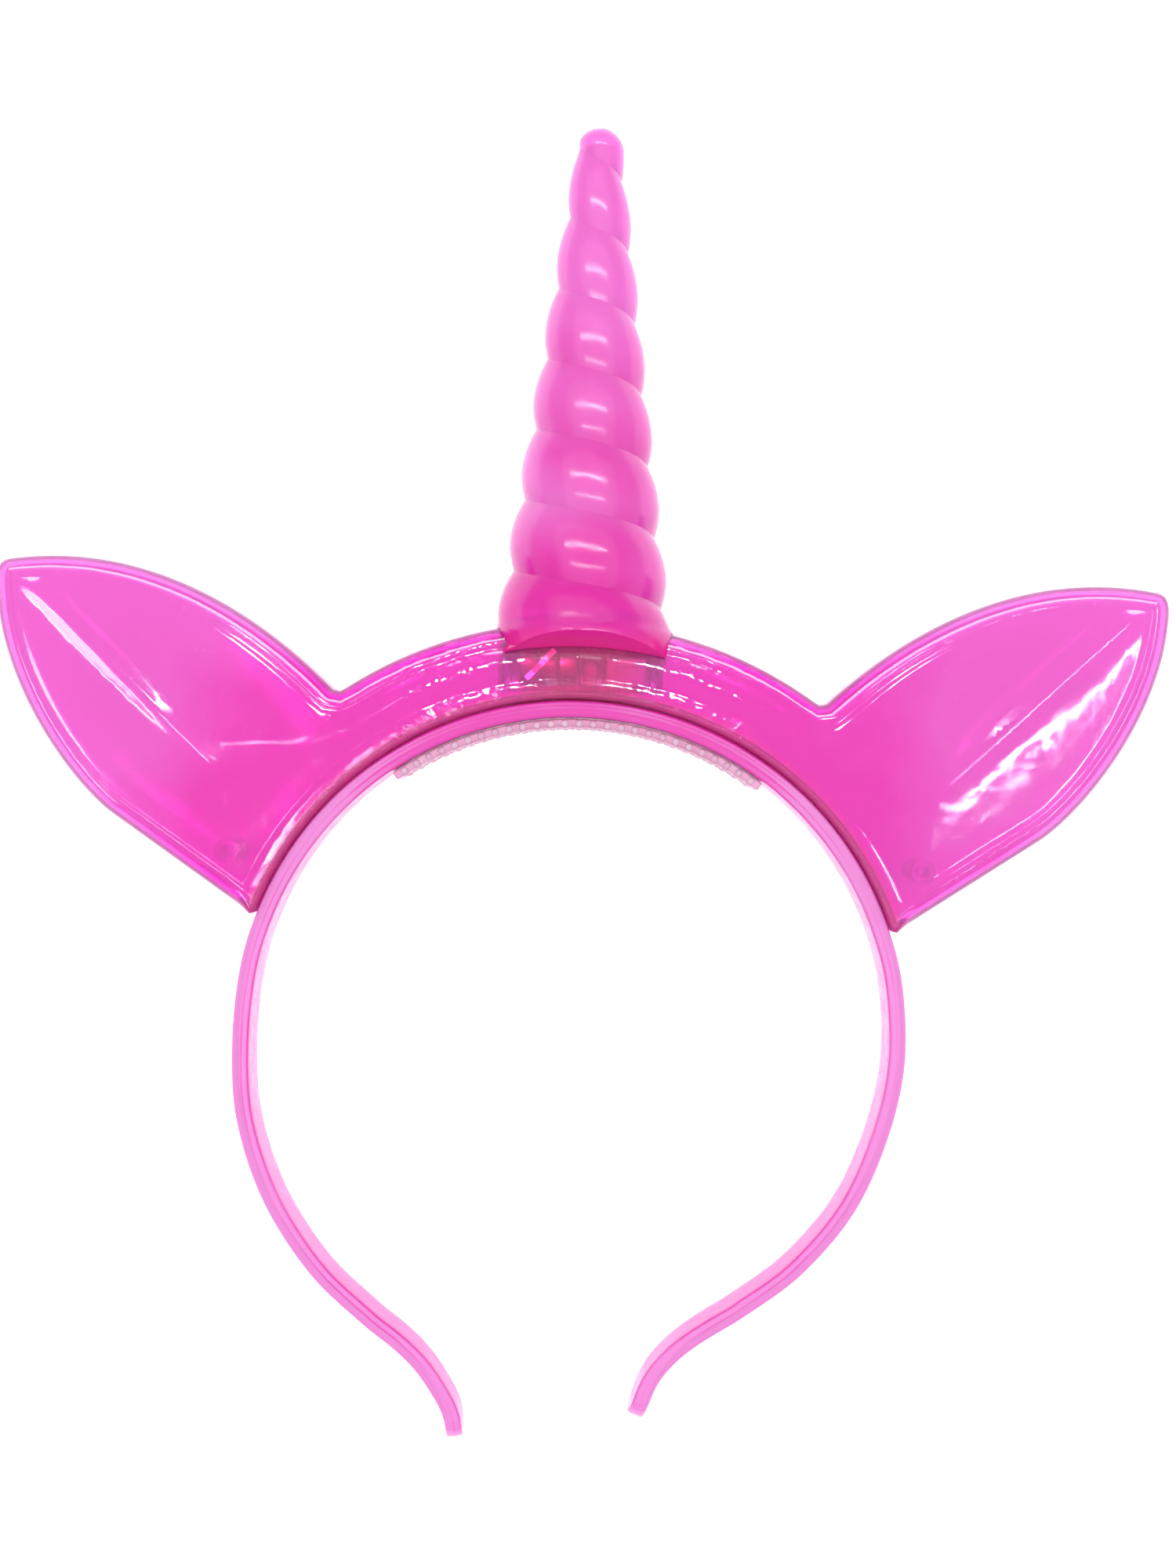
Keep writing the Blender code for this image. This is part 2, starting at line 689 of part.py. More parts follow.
def saddle_block():
    # the crown's own section, grown by the seat gap and turned about the hoop's centre, with
    # the slope that trims the horn's foot in front of the crown and behind it
    far = HORN_RADIUS_BASE * 1.5
    lap_radius = crown_radius() - HORN_LAP
    floor_radius = crown_inner_radius()
    face = [(crown_radius() - d, float(shell_height(d, -SEAT_GAP)))
            for d in np.linspace(HORN_LAP, -SEAT_GAP, 9)]
    slope_end = (lap_radius + (far - face[0][1]) * HORN_LAP_SLOPE, far)
    half = [(floor_radius, far), slope_end] + face
    section = half + [(radius, -height) for radius, height in half[::-1]]
    spread = math.radians(20)
    form = bmesh.new()
    start = on_circle(1.0, -spread)
    verts = [form.verts.new((start.x * radius, start.y * radius, height))
             for radius, height in section]
    face = form.faces.new(verts)
    bmesh.ops.spin(form, geom=[face], cent=(0, 0, 0), axis=(0, 0, -1), angle=2 * spread,
                   steps=20, use_merge=False)
    bmesh.ops.recalc_face_normals(form, faces=form.faces)
    return form


def make_horn(collection, cutters, material):
    # the horn leans a little about the hoop's centre, with its hollow
    horn = add_object("horn", horn_block(), collection, material)
    hollow = add_cutter("horn_hollow", horn_hollow(), cutters)
    well = add_cutter("horn_well", horn_well(), cutters)
    saddle = add_cutter("horn_saddle", saddle_block(), cutters)
    for item in (horn, hollow, well):
        item.rotation_euler = (0, 0, -HORN_LEAN)
    for cutter in (hollow, well, saddle):
        add_boolean(horn, cutter, "DIFFERENCE")
    shade_round(horn)
    return horn


# Light unit

def inner_floor():
    return holder_floor() + HOLDER_WALL + SEAT_GAP


def make_holder(collection, material):
    # an open tray that holds the cells, the lamp and the switch block
    height = 2 * holder_half_height()
    form = bmesh.new()
    bmesh.ops.create_cube(form, size=1)
    bmesh.ops.scale(form, vec=(HOLDER_LENGTH, height, HOLDER_DEPTH), verts=form.verts)
    open_side = [face for face in form.faces if face.normal.z > 0.9]
    bmesh.ops.delete(form, geom=open_side, context="FACES_ONLY")
    holder = add_object("battery_holder", form, collection, material)
    holder.location = (0, holder_floor() + height / 2, (HOLDER_DEPTH - height) / 2)
    add_solidify(holder, HOLDER_WALL, -1.0)
    return holder


def make_cells(collection, material):
    form = bmesh.new()
    turn = Matrix.Rotation(math.radians(90), 4, "Y")
    bmesh.ops.create_cone(form, cap_ends=True, segments=24, radius1=CELL_RADIUS,
                          radius2=CELL_RADIUS, depth=CELL_THICKNESS, matrix=turn)
    first = add_object("button_cell_1", form, collection, material)
    cells = [first]
    for number in range(2, CELL_COUNT + 1):
        cell = bpy.data.objects.new("button_cell_" + str(number), first.data)
        collection.objects.link(cell)
        cells.append(cell)
    for index, cell in enumerate(cells):
        place = CELLS_END - CELL_THICKNESS / 2 - index * (CELL_THICKNESS + SEAT_GAP)
        cell.location = (place, inner_floor() + CELL_RADIUS, 0)
        add_bevel(cell, CELL_EDGE_ROUND, 1)
        shade_round(cell)
    return cells


def make_lamp(collection, material):
    # a round lamp with a flange, turned from its outline
    dome = [(LAMP_RADIUS * math.sin(math.radians(a)),
             LAMP_HEIGHT - LAMP_RADIUS * (1 - math.cos(math.radians(a))))
            for a in range(0, 91, 18)]
    outline = dome + [(LAMP_RADIUS, LAMP_FLANGE_HEIGHT), (LAMP_FLANGE_RADIUS, LAMP_FLANGE_HEIGHT),
                      (LAMP_FLANGE_RADIUS, 0.0), (0.0, 0.0)]
    form = bmesh.new()
    verts = [form.verts.new((radius, 0, height)) for radius, height in outline]
    for a, b in zip(verts, verts[1:]):
        form.edges.new((a, b))
    lamp = add_object("led_lamp", form, collection, material)
    lamp.location = (LAMP_PLACE, inner_floor(), 0)
    lamp.rotation_euler = (math.radians(-90), 0, 0)
    turned = lamp.modifiers.new("turned", "SCREW")
    turned.steps = 16
    turned.render_steps = 16
    turned.use_merge_vertices = True
    turned.merge_threshold = 0.00001
    return lamp


def make_switch_block(collection, material):
    form = bmesh.new()
    bmesh.ops.create_cube(form, size=1)
    bmesh.ops.scale(form, vec=(BLOCK_LENGTH, BLOCK_HEIGHT, BLOCK_DEPTH), verts=form.verts)
    block = add_object("switch_block", form, collection, material)
    block.location = (BLOCK_PLACE, inner_floor() + BLOCK_HEIGHT / 2, BLOCK_DEPTH / 2 - CELL_RADIUS)
    add_bevel(block, BLOCK_EDGE_ROUND, 2)
    shade_round(block)
    return block


def make_contact(collection, material):
    # a thin metal strip that lies slantwise over the cells
    middle_x = CELLS_END - (CELL_COUNT * (CELL_THICKNESS + SEAT_GAP)) * 0.62
    middle_y = inner_floor() + CELL_RADIUS
    front = CELL_RADIUS + SEAT_GAP + CONTACT_THICKNESS / 2
    slant = math.radians(46)
    form = bmesh.new()
    bmesh.ops.create_grid(form, x_segments=1, y_segments=1, size=0.5)
    length = CONTACT_RUN / math.cos(slant)
    bmesh.ops.scale(form, vec=(length, CONTACT_WIDTH, 1), verts=form.verts)
    contact = add_object("contact_strip", form, collection, material)
    contact.location = (middle_x, middle_y, front)
    contact.rotation_euler = (0, 0, slant)
    add_solidify(contact, CONTACT_THICKNESS, 0.0)
    return contact


# Rest

def world_points(piece):
    graph = bpy.context.evaluated_depsgraph_get()
    shape = piece.evaluated_get(graph).to_mesh()
    points = np.empty(len(shape.vertices) * 3)
    shape.vertices.foreach_get("co", points)
    matrix = np.array(piece.matrix_world)
    return points.reshape(-1, 3) @ matrix[:3, :3].T + matrix[:3, 3]


def lay_down(pieces, cutters, horn, hoop):
    # rests the headband on the back of the horn's foot and on the ends of its two legs
    bpy.context.view_layer.update()
    horn_points = world_points(horn)
    hoop_points = world_points(hoop)
    legs = [hoop_points[(hoop_points[:, 1] < 0) & (hoop_points[:, 0] * side > 0)]
            for side in (-1, 1)]
    tilt = 0.0
    roll = 0.0
    for _ in range(12):
        turn = np.array(Matrix.Rotation(roll, 3, "Y") @ Matrix.Rotation(tilt, 3, "X"))
        feet = [group[np.argmin(group @ turn[2])] for group in [horn_points] + legs]
        normal = np.cross(feet[2] - feet[1], feet[0] - feet[1])
        normal *= np.sign(normal[2])
        tilt = math.atan2(normal[1], normal[2])
        roll = math.atan2(-normal[0], math.hypot(normal[1], normal[2]))
    turn = np.array(Matrix.Rotation(roll, 3, "Y") @ Matrix.Rotation(tilt, 3, "X"))
    cloud = np.concatenate([world_points(piece) for piece in pieces]) @ turn.T
    low = cloud.min(axis=0)
    high = cloud.max(axis=0)
    rest = bpy.data.objects.new("rest", None)
    bpy.context.scene.collection.objects.link(rest)
    rest.rotation_euler = (tilt, roll, 0)
    rest.location = (-(low[0] + high[0]) / 2, -(low[1] + high[1]) / 2, -low[2])
    for item in pieces + cutters:
        item.parent = rest


def build():
    clear_scene()
    parts = new_collection("unicorn_horn_headband")
    cutters = new_collection("cutters")
    pink = make_material("clear_pink_plastic", CLEAR_PINK, 0.12, transmission=0.5)
    band_pink = make_material("band_pink_plastic", (0.90, 0.22, 0.62), 0.15, transmission=0.4)
    pale = make_material("pale_clear_plastic", PALE_CLEAR, 0.2, transmission=0.5)
    white = make_material("white_plastic", (0.85, 0.80, 0.82), 0.4)
    steel = make_material("cell_steel", (0.62, 0.60, 0.62), 0.3, metallic=1.0)
    copper = make_material("contact_metal", (0.80, 0.68, 0.50), 0.35, metallic=1.0)
    lamp_clear = make_material("lamp_clear", (0.95, 0.88, 0.92), 0.1, transmission=0.6)

    hoop = make_hoop(parts, band_pink)
    comb = make_comb(parts, cutters, pale)
    front = make_crown_front(parts, cutters, pink)
    back = make_crown_back(parts, cutters, pink)
    horn = make_horn(parts, cutters, pink)
    holder = make_holder(parts, pale)
    cells = make_cells(parts, steel)
    lamp = make_lamp(parts, lamp_clear)
    block = make_switch_block(parts, white)
    contact = make_contact(parts, copper)
    pieces = [hoop, comb, front, back, horn, holder, lamp, block, contact] + cells
    lay_down(pieces, list(cutters.objects), horn, hoop)


build()
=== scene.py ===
# Looks of the unicorn horn headband: clear pink plastic over a small light unit.
# Pieces are modelled in millimetres in the headband's own frame: X to the right as seen from
# the front, Y towards the horn's tip, Z towards the front, with the hoop's centre at zero.

import json
import math

import bmesh
import bpy
import numpy as np
from mathutils import Matrix, Vector


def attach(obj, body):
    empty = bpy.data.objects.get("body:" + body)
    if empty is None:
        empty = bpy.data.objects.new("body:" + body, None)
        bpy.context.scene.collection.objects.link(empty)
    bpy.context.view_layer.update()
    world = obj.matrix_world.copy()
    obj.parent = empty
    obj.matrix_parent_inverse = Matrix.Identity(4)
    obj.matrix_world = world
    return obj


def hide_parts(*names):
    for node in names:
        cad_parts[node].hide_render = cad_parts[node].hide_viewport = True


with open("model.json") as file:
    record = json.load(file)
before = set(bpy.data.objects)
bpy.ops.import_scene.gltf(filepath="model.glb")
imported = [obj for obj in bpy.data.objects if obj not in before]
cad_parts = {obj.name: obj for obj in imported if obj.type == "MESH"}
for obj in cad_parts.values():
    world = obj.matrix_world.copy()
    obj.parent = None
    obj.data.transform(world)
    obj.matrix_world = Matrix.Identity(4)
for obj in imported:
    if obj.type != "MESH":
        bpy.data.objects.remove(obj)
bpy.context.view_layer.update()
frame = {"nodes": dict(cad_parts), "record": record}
print("frame loaded:", len(frame["nodes"]), "nodes")

millimetre = 0.001

# sizes that several pieces share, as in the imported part
fit = {
    "gap": 0.3,                 # between pieces that touch
    "hoopRadius": 65.1,         # middle of the strip
    "stripThickness": 3.3,
    "crownWall": 1.5,
    "cellRadius": 3.95,
    "trayWall": 0.7,
    "trayLength": 33.0,
    "trayHeadroom": 0.45,
    "hornLap": 5.1,             # how far the horn's foot laps over the crown
}


def onCircle(radius, angle):
    # a point at an angle from the top, clockwise
    return Vector((radius * math.sin(angle), radius * math.cos(angle), 0))


def crownInnerRadius():
    return fit["hoopRadius"] + fit["stripThickness"] / 2 + fit["gap"]


def trayFloor():
    return crownInnerRadius() + fit["crownWall"] + fit["gap"]


def trayHalfHeight():
    return fit["cellRadius"] + fit["gap"] + fit["trayWall"]


def crownRadius():
    top = trayFloor() + 2 * trayHalfHeight()
    return math.hypot(fit["trayLength"] / 2, top) + fit["trayHeadroom"] + fit["crownWall"]


# Mesh helpers

def newGrid(columns, rows):
    # a flat grid whose corners are at 0, 0 and 1, 1
    form = bmesh.new()
    bmesh.ops.create_grid(form, x_segments=columns, y_segments=rows, size=0.5)
    bmesh.ops.translate(form, vec=(0.5, 0.5, 0), verts=form.verts)
    return form


def looseObject(name, form):
    mesh = bpy.data.meshes.new(name)
    form.to_mesh(mesh)
    form.free()
    item = bpy.data.objects.new(name, mesh)
    bpy.context.scene.collection.objects.link(item)
    return item


def combine(form, other, operation):
    # joins two closed forms, or cuts one with the other
    whole = looseObject("whole", form)
    tool = looseObject("tool", other)
    step = whole.modifiers.new("combine", "BOOLEAN")
    step.operation = operation
    step.object = tool
    graph = bpy.context.evaluated_depsgraph_get()
    mesh = bpy.data.meshes.new_from_object(whole.evaluated_get(graph))
    result = bmesh.new()
    result.from_mesh(mesh)
    for item in (whole, tool):
        bpy.data.objects.remove(item, do_unlink=True)
    bpy.data.meshes.remove(mesh)
    return result


def roundCorners(form, offset, segments):
    # rounds every edge where two faces meet at more than fifty degrees
    form.normal_update()
    corners = [edge for edge in form.edges
               if len(edge.link_faces) == 2 and edge.calc_face_angle() > math.radians(50)]
    bmesh.ops.bevel(form, geom=corners, offset=offset, offset_type="OFFSET", affect="EDGES",
                    segments=segments, profile=0.5, material=-1)


def giveWall(form, thickness):
    # turns an open strip's faces away from the hoop's centre and thickens it inwards
    faces = form.faces[:]
    middle = faces[len(faces) // 2]
    if middle.normal.dot(middle.calc_center_median()) < 0:
        bmesh.ops.reverse_faces(form, faces=faces)
    bmesh.ops.solidify(form, geom=form.faces, thickness=thickness)


def turnedForm(outline, axis, steps):
    # a closed round form from half of its section
    form = bmesh.new()
    verts = [form.verts.new((*point, 0)) for point in outline]
    edges = [form.edges.new(pair) for pair in zip(verts, verts[1:])]
    bmesh.ops.spin(form, geom=verts + edges, cent=(0, 0, 0), axis=axis,
                   angle=2 * math.pi, steps=steps, use_merge=True)
    bmesh.ops.remove_doubles(form, verts=form.verts, dist=0.001)
    bmesh.ops.recalc_face_normals(form, faces=form.faces)
    return form


def placeOnTable():
    # the frame at rest, from the flat pad on the back of the crown
    mount = frame["record"]["mounts"][0]
    axis = Vector(mount["axis"])
    turn = (Matrix.Rotation(math.atan2(-axis.x, -axis.z), 4, "Y")
            @ Matrix.Rotation(math.asin(axis.y), 4, "X"))
    pad = Vector((0, padMiddleRadius(), -padFace())) * millimetre
    middle = Vector(mount["pos_m"]) - turn @ pad
    return Matrix.Translation(middle) @ turn @ Matrix.Scale(millimetre, 4)


def finishPiece(name, form, material, nodes, smoothAngle=35):
    bmesh.ops.transform(form, matrix=onTable, verts=form.verts)
    piece = looseObject(name, form)
    piece.data.materials.append(material)
    piece.data.shade_smooth()
    piece.data.set_sharp_from_angle(angle=math.radians(smoothAngle))
    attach(piece, "root")
    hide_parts(*nodes)
    return piece


# Crown: the arc and both ears as one outline, with a rounded shoulder and a soft face

crown = {
    "shoulderWidth": 3.7,
    "shoulderRise": 4.0,
    "firstLoopShare": 0.3,
    "faceRise": 1.4,
    "faceRun": 9.0,
    "earRun": 26.0,             # the ears' faces rise less and over a longer way
    "earRise": 1.05,
    "earFrom": 30,              # degrees from the horn where that starts
    "earBlend": 14,             # degrees over which it comes in
    "innerRound": 0.9,          # smaller shoulder next to the hoop
    "innerReach": 4,
    "notchRound": 1.5,
    "cornerRound": 0.9,
    "earLean": 52.9,            # degrees from the horn
    "earLength": 64.2,
    "earWidth": 50.0,
    "crestHeight": 0.6,
    "crestHalfWidth": 1.25,
    "crestRound": 0.25,
    "crestEnd": 1.25,           # where the ridge has run out, as a share of its line
    "crestFade": 0.5,
    "upperEdge": ((-0.040, 0.491), (0.299, 0.539), (0.706, 0.481), (0.996, 0.086)),
    "tip": (1.030, 0.044),
    "lowerEdge": ((0.965, -0.042), (0.775, -0.324), (0.424, -0.452), (0.257, -0.448)),
    "foot": (-0.282, -0.410),
    "crestFrom": (1.000, 0.085),
    "crestTo": (0.100, -0.050),
    "curvePoints": 60,
    "roundPoints": 8,
    "tipPoints": 14,
    "footPoints": 6,
    "basePoints": 90,
    "outlineStep": 1.3,
    "shoulderLoops": 12,
    "faceStep": 1.15,
    "weldReach": 0.3,
    "seamRound": 0.25,          # softened edge where the two shells meet
    "valleyPlace": 4.2,         # shallow line between the shoulder and the face
    "valleyDepth": 0.16,
    "valleyWidth": 0.75,
    "valleyLoops": 6,
    "valleyStep": 0.35,
    "padWidth": 6.0,
    "padRise": 0.5,
    "padHalfAngle": 12.5,
    "padRoot": 0.9,
    "padSteps": 24,
    "postPlace": (-0.098, -0.276),
    "postRadius": 2.4,
    "postRoot": 0.8,
    "postBore": 1.2,
    "postBoreDepth": 8.0,
}


def rimHeight():
    # level where the shoulder starts
    share = fit["gap"] / (crown["shoulderWidth"] - fit["crownWall"]) / crown["firstLoopShare"]
    first = math.sqrt(1 - (1 - crown["firstLoopShare"]) ** 2)
    loopRise = (crown["shoulderRise"] - fit["crownWall"]) * first
    return trayHalfHeight() + fit["gap"] - share * loopRise


def softStep(share):
    share = np.clip(share, 0, 1)
    return share * share * (3 - 2 * share)


def shellHeight(distance, inset=0.0):
    # height over the seam at a distance from the rim: a quarter round and then a soft rise
    distance = np.asarray(distance, dtype=float)
    width = crown["shoulderWidth"] - inset
    rise = crown["shoulderRise"] - inset
    share = np.clip((distance - inset) / width, 0, 1)
    soft = softStep((distance - crown["shoulderWidth"]) / crown["faceRun"])
    return rimHeight() + rise * np.sqrt(1 - (1 - share) ** 2) + crown["faceRise"] * soft


def padMiddleRadius():
    return crownRadius() - fit["hornLap"] - fit["gap"] - crown["padWidth"] / 2


def padFace():
    return float(shellHeight(crownRadius() - padMiddleRadius())) + crown["padRise"]


onTable = placeOnTable()


def earPoint(along, across):
    # a point of the right ear, from shares of its length and width
    axis = onCircle(1.0, math.radians(crown["earLean"]))
    side = Vector((-axis.y, axis.x, 0))
    reach = crownRadius() + along * crown["earLength"]
    return axis * reach + side * (across * crown["earWidth"])


def bezierRun(controls, count):
    run = []
    for i in range(count + 1):
        level = list(controls)
        while len(level) > 1:
            level = [a.lerp(b, i / count) for a, b in zip(level, level[1:])]
        run.append(level[0])
    return run


def circleRun(radius, start, end, count):
    return [onCircle(radius, start + (end - start) * i / count) for i in range(count + 1)]


def evenRun(run, step):
    # the same line with its points an even step apart
    marks = np.cumsum([0.0] + [(b - a).length for a, b in zip(run, run[1:])])
    count = round(marks[-1] / step)
    spots = np.linspace(0, marks[-1], count + 1)
    return [Vector((np.interp(s, marks, [p.x for p in run]),
                    np.interp(s, marks, [p.y for p in run]), 0)) for s in spots]


def crownHalfOutline():
    inner = crownInnerRadius()
    upper = [earPoint(*row) for row in crown["upperEdge"]]
    lower = [earPoint(*row) for row in crown["lowerEdge"]]
    notchAngle = math.atan2(upper[0].x, upper[0].y)
    notch = onCircle(crownRadius(), notchAngle)
    upper[0] = notch + (upper[1] - notch).normalized() * crown["notchRound"]
    arcEnd = notchAngle - crown["notchRound"] / crownRadius()
    start = earPoint(*crown["foot"])
    step = (lower[-1] - start).normalized()
    middle = start.dot(step)
    foot = start + step * (math.sqrt(middle ** 2 - start.length_squared + inner ** 2) - middle)
    footAngle = math.atan2(foot.x, foot.y)
    aboveFoot = foot + (lower[-1] - foot).normalized() * crown["cornerRound"]
    base = circleRun(inner, footAngle - crown["cornerRound"] / inner, 0.0, crown["basePoints"])
    run = circleRun(crownRadius(), 0.0, arcEnd, crown["curvePoints"])
    run += bezierRun([run[-1], notch, upper[0]], crown["roundPoints"])[1:]
    run += bezierRun(upper, crown["curvePoints"])[1:]
    run += bezierRun([upper[-1], earPoint(*crown["tip"]), lower[0]], crown["tipPoints"])[1:]
    run += bezierRun(lower, crown["curvePoints"])[1:]
    run += bezierRun([lower[-1], aboveFoot], crown["roundPoints"])[1:]
    run += bezierRun([aboveFoot, foot, base[0]], crown["footPoints"])[1:]
    return run + base[1:]


def crownOutline():
    half = evenRun(crownHalfOutline(), crown["outlineStep"])
    return half + [Vector((-point.x, point.y, 0)) for point in half[-2:0:-1]]


def edgeDistance(spots, outline):
    # distance of each spot to the closed outline
    start = np.array([(p.x, p.y) for p in outline])
    run = np.roll(start, -1, axis=0) - start
    square = (run ** 2).sum(axis=1)
    result = np.empty(len(spots))
    batch = 2000
    for first in range(0, len(spots), batch):
        part = spots[first:first + batch, None]
        share = np.einsum("ijk,jk->ij", part - start[None], run) / square
        near = start[None] + np.clip(share, 0, 1)[..., None] * run[None]
        result[first:first + batch] = np.sqrt(((part - near) ** 2).sum(axis=2)).min(axis=1)
    return result


def crestHeight(spots, distance):
    # the soft ridge from each ear's tip into its middle
    mirrored = np.stack([np.abs(spots[:, 0]), spots[:, 1]], axis=1)
    start = np.array(earPoint(*crown["crestFrom"]))[:2]
    run = np.array(earPoint(*crown["crestTo"]))[:2] - start
    along = ((mirrored - start) @ run) / (run @ run)
    near = start + np.clip(along, 0, 1)[:, None] * run
    away = np.linalg.norm(mirrored - near, axis=1)
    nearRim = np.clip(distance / crown["shoulderWidth"] - 1, 0, 1)
    fade = np.clip((crown["crestEnd"] - along) / crown["crestFade"], 0, 1)
    top = np.hypot(away, crown["crestRound"]) - crown["crestRound"]
    return crown["crestHeight"] * np.exp(-top / crown["crestHalfWidth"]) * nearRim * fade


def earRise(spots, distance):
    # how far the ears' long soft faces stand over the arc's own face
    angle = np.degrees(np.arctan2(np.abs(spots[:, 0]), spots[:, 1]))
    inEar = softStep((angle - crown["earFrom"]) / crown["earBlend"])
    past = distance - crown["shoulderWidth"]
    own = crown["earRise"] * softStep(past / crown["earRun"])
    return inEar * (own - crown["faceRise"] * softStep(past / crown["faceRun"]))


def innerLift(spots, distance):
    # next to the hoop the shoulder is small, so the face runs on to the edge
    beside = np.linalg.norm(spots, axis=1) - crownInnerRadius() - distance
    near = 1 - softStep(beside / crown["innerReach"])
    share = np.clip(distance / crown["innerRound"], 0, 1)
    start = crown["shoulderRise"] - crown["innerRound"]
    small = start + crown["innerRound"] * np.sqrt(1 - (1 - share) ** 2)
    wide = shellHeight(np.minimum(distance, crown["shoulderWidth"])) - rimHeight()
    return near * (small - wide)


def surfaceHeight(spots, outline):
    # the finished face over the seam, with its ridge and its shallow line
    distance = edgeDistance(spots, outline)
    valley = (distance - crown["valleyPlace"]) / crown["valleyWidth"]
    dip = crown["valleyDepth"] * np.exp(-valley ** 2)
    height = shellHeight(distance) + earRise(spots, distance) + innerLift(spots, distance)
    return height + crestHeight(spots, distance) - dip


def crownShell():
    # one shell, open at the seam: the outline's face is inset in loops along the shoulder and
    # cut into a fine field, then every point gets its height
    outline = crownOutline()
    form = bmesh.new()
    face = form.faces.new([form.verts.new(point) for point in outline][::-1])
    turns = np.linspace(0, math.pi / 2, crown["shoulderLoops"] + 1)
    steps = list(np.diff(crown["shoulderWidth"] * (1 - np.cos(turns))))
    for step in steps + [crown["valleyStep"]] * crown["valleyLoops"]:
        bmesh.ops.inset_region(form, faces=[face], thickness=step, use_even_offset=True,
                               use_boundary=True)
        form.faces.ensure_lookup_table()
        face = max(form.faces, key=lambda item: item.calc_area())
        merged = bmesh.ops.find_doubles(form, verts=face.verts, dist=crown["weldReach"])
        bmesh.ops.weld_verts(form, targetmap=merged["targetmap"])
        face = max(form.faces, key=lambda item: item.calc_area())
    inner = [face]
    low = [min(point[i] for point in outline) for i in (0, 1)]
    high = [max(point[i] for point in outline) for i in (0, 1)]
    for axis, normal in ((0, (1, 0, 0)), (1, (0, 1, 0))):
        count = int((high[axis] - low[axis]) / crown["faceStep"])
        for i in range(1, count):
            spot = [0.0, 0.0, 0.0]
            spot[axis] = low[axis] + (high[axis] - low[axis]) * i / count
            geom = inner + list({e for f in inner for e in f.edges}
                                | {v for f in inner for v in f.verts})
            cut = bmesh.ops.bisect_plane(form, geom=geom, plane_co=spot, plane_no=normal)
            inner = [item for item in cut["geom"] if isinstance(item, bmesh.types.BMFace)]
    bmesh.ops.triangulate(form, faces=[item for item in form.faces if len(item.verts) > 4])
    bmesh.ops.recalc_face_normals(form, faces=form.faces)
    spots = np.array([vert.co[:2] for vert in form.verts])
    for vert, height in zip(form.verts, surfaceHeight(spots, outline)):
        vert.co.z = height
    rim = [edge for edge in form.edges if edge.is_boundary]
    for level in (crown["seamRound"] + fit["gap"] / 2, fit["gap"] / 2):
        side = bmesh.ops.extrude_edge_only(form, edges=rim)["geom"]
        for item in side:
            if isinstance(item, bmesh.types.BMVert):
                item.co.z = level
        rim = [item for item in side if isinstance(item, bmesh.types.BMEdge)
               and item.is_boundary]
    bmesh.ops.recalc_face_normals(form, faces=form.faces)
    top = max(form.faces, key=lambda item: item.calc_center_median().z)
    if top.normal.z < 0:
        bmesh.ops.reverse_faces(form, faces=form.faces)
    return form


def turnToBack(form):
    bmesh.ops.scale(form, vec=(1, 1, -1), verts=form.verts)
    bmesh.ops.reverse_faces(form, faces=form.faces)
    return form


def padBlock():
    # flat curved pad behind the light unit
    form = newGrid(crown["padSteps"], 1)
    for vert in form.verts:
        radius = padMiddleRadius() + (vert.co.y - 0.5) * crown["padWidth"]
        angle = math.radians((vert.co.x - 0.5) * 2 * crown["padHalfAngle"])
        vert.co = onCircle(radius, angle) - Vector((0, 0, padFace()))
    sides = bmesh.ops.extrude_face_region(form, geom=form.faces[:])["geom"]
    lower = [item for item in sides if isinstance(item, bmesh.types.BMVert)]
    bmesh.ops.translate(form, vec=(0, 0, crown["padRise"] + crown["padRoot"]), verts=lower)
    bmesh.ops.recalc_face_normals(form, faces=form.faces)
    return form


def roundPost(place, radius, low, high):
    form = bmesh.new()
    middle = Matrix.Translation((place.x, place.y, (low + high) / 2))
    bmesh.ops.create_cone(form, cap_ends=True, segments=40, radius1=radius, radius2=radius,
                          depth=high - low, matrix=middle)
    return form


def mergeForms(form, other):
    mesh = bpy.data.meshes.new("part")
    other.to_mesh(mesh)
    form.from_mesh(mesh)
    bpy.data.meshes.remove(mesh)
    other.free()
    return form


def makeCrown(material):
    front = crownShell()
    back = turnToBack(front.copy())
    for shell in (front, back):
        bmesh.ops.solidify(shell, geom=shell.faces, thickness=fit["crownWall"])
    finishPiece("crown_front_shell", front, material, ["crown_front"], 50)
    place = earPoint(*crown["postPlace"])
    ring = [place + onCircle(crown["postRadius"], math.radians(a)) for a in range(0, 360, 15)]
    ring = np.array([point[:2] for point in ring])
    roof = float(surfaceHeight(ring, crownOutline()).min()) - fit["crownWall"] - fit["gap"]
    posts = bmesh.new()
    for side in (-1, 1):
        spot = Vector((side * place.x, place.y, 0))
        post = roundPost(spot, crown["postRadius"], -roof - fit["gap"] - crown["postRoot"], roof)
        bore = roundPost(spot, crown["postBore"], roof - crown["postBoreDepth"], roof + 1)
        mergeForms(posts, combine(post, bore, "DIFFERENCE"))
    back = combine(back, posts, "UNION")
    back = combine(back, padBlock(), "UNION")
    finishPiece("crown_back_shell", back, material, ["crown_back"], 50)
    print("crown shells made")


# Horn: a hollow cone with one left-handed groove, and a foot that laps over the crown

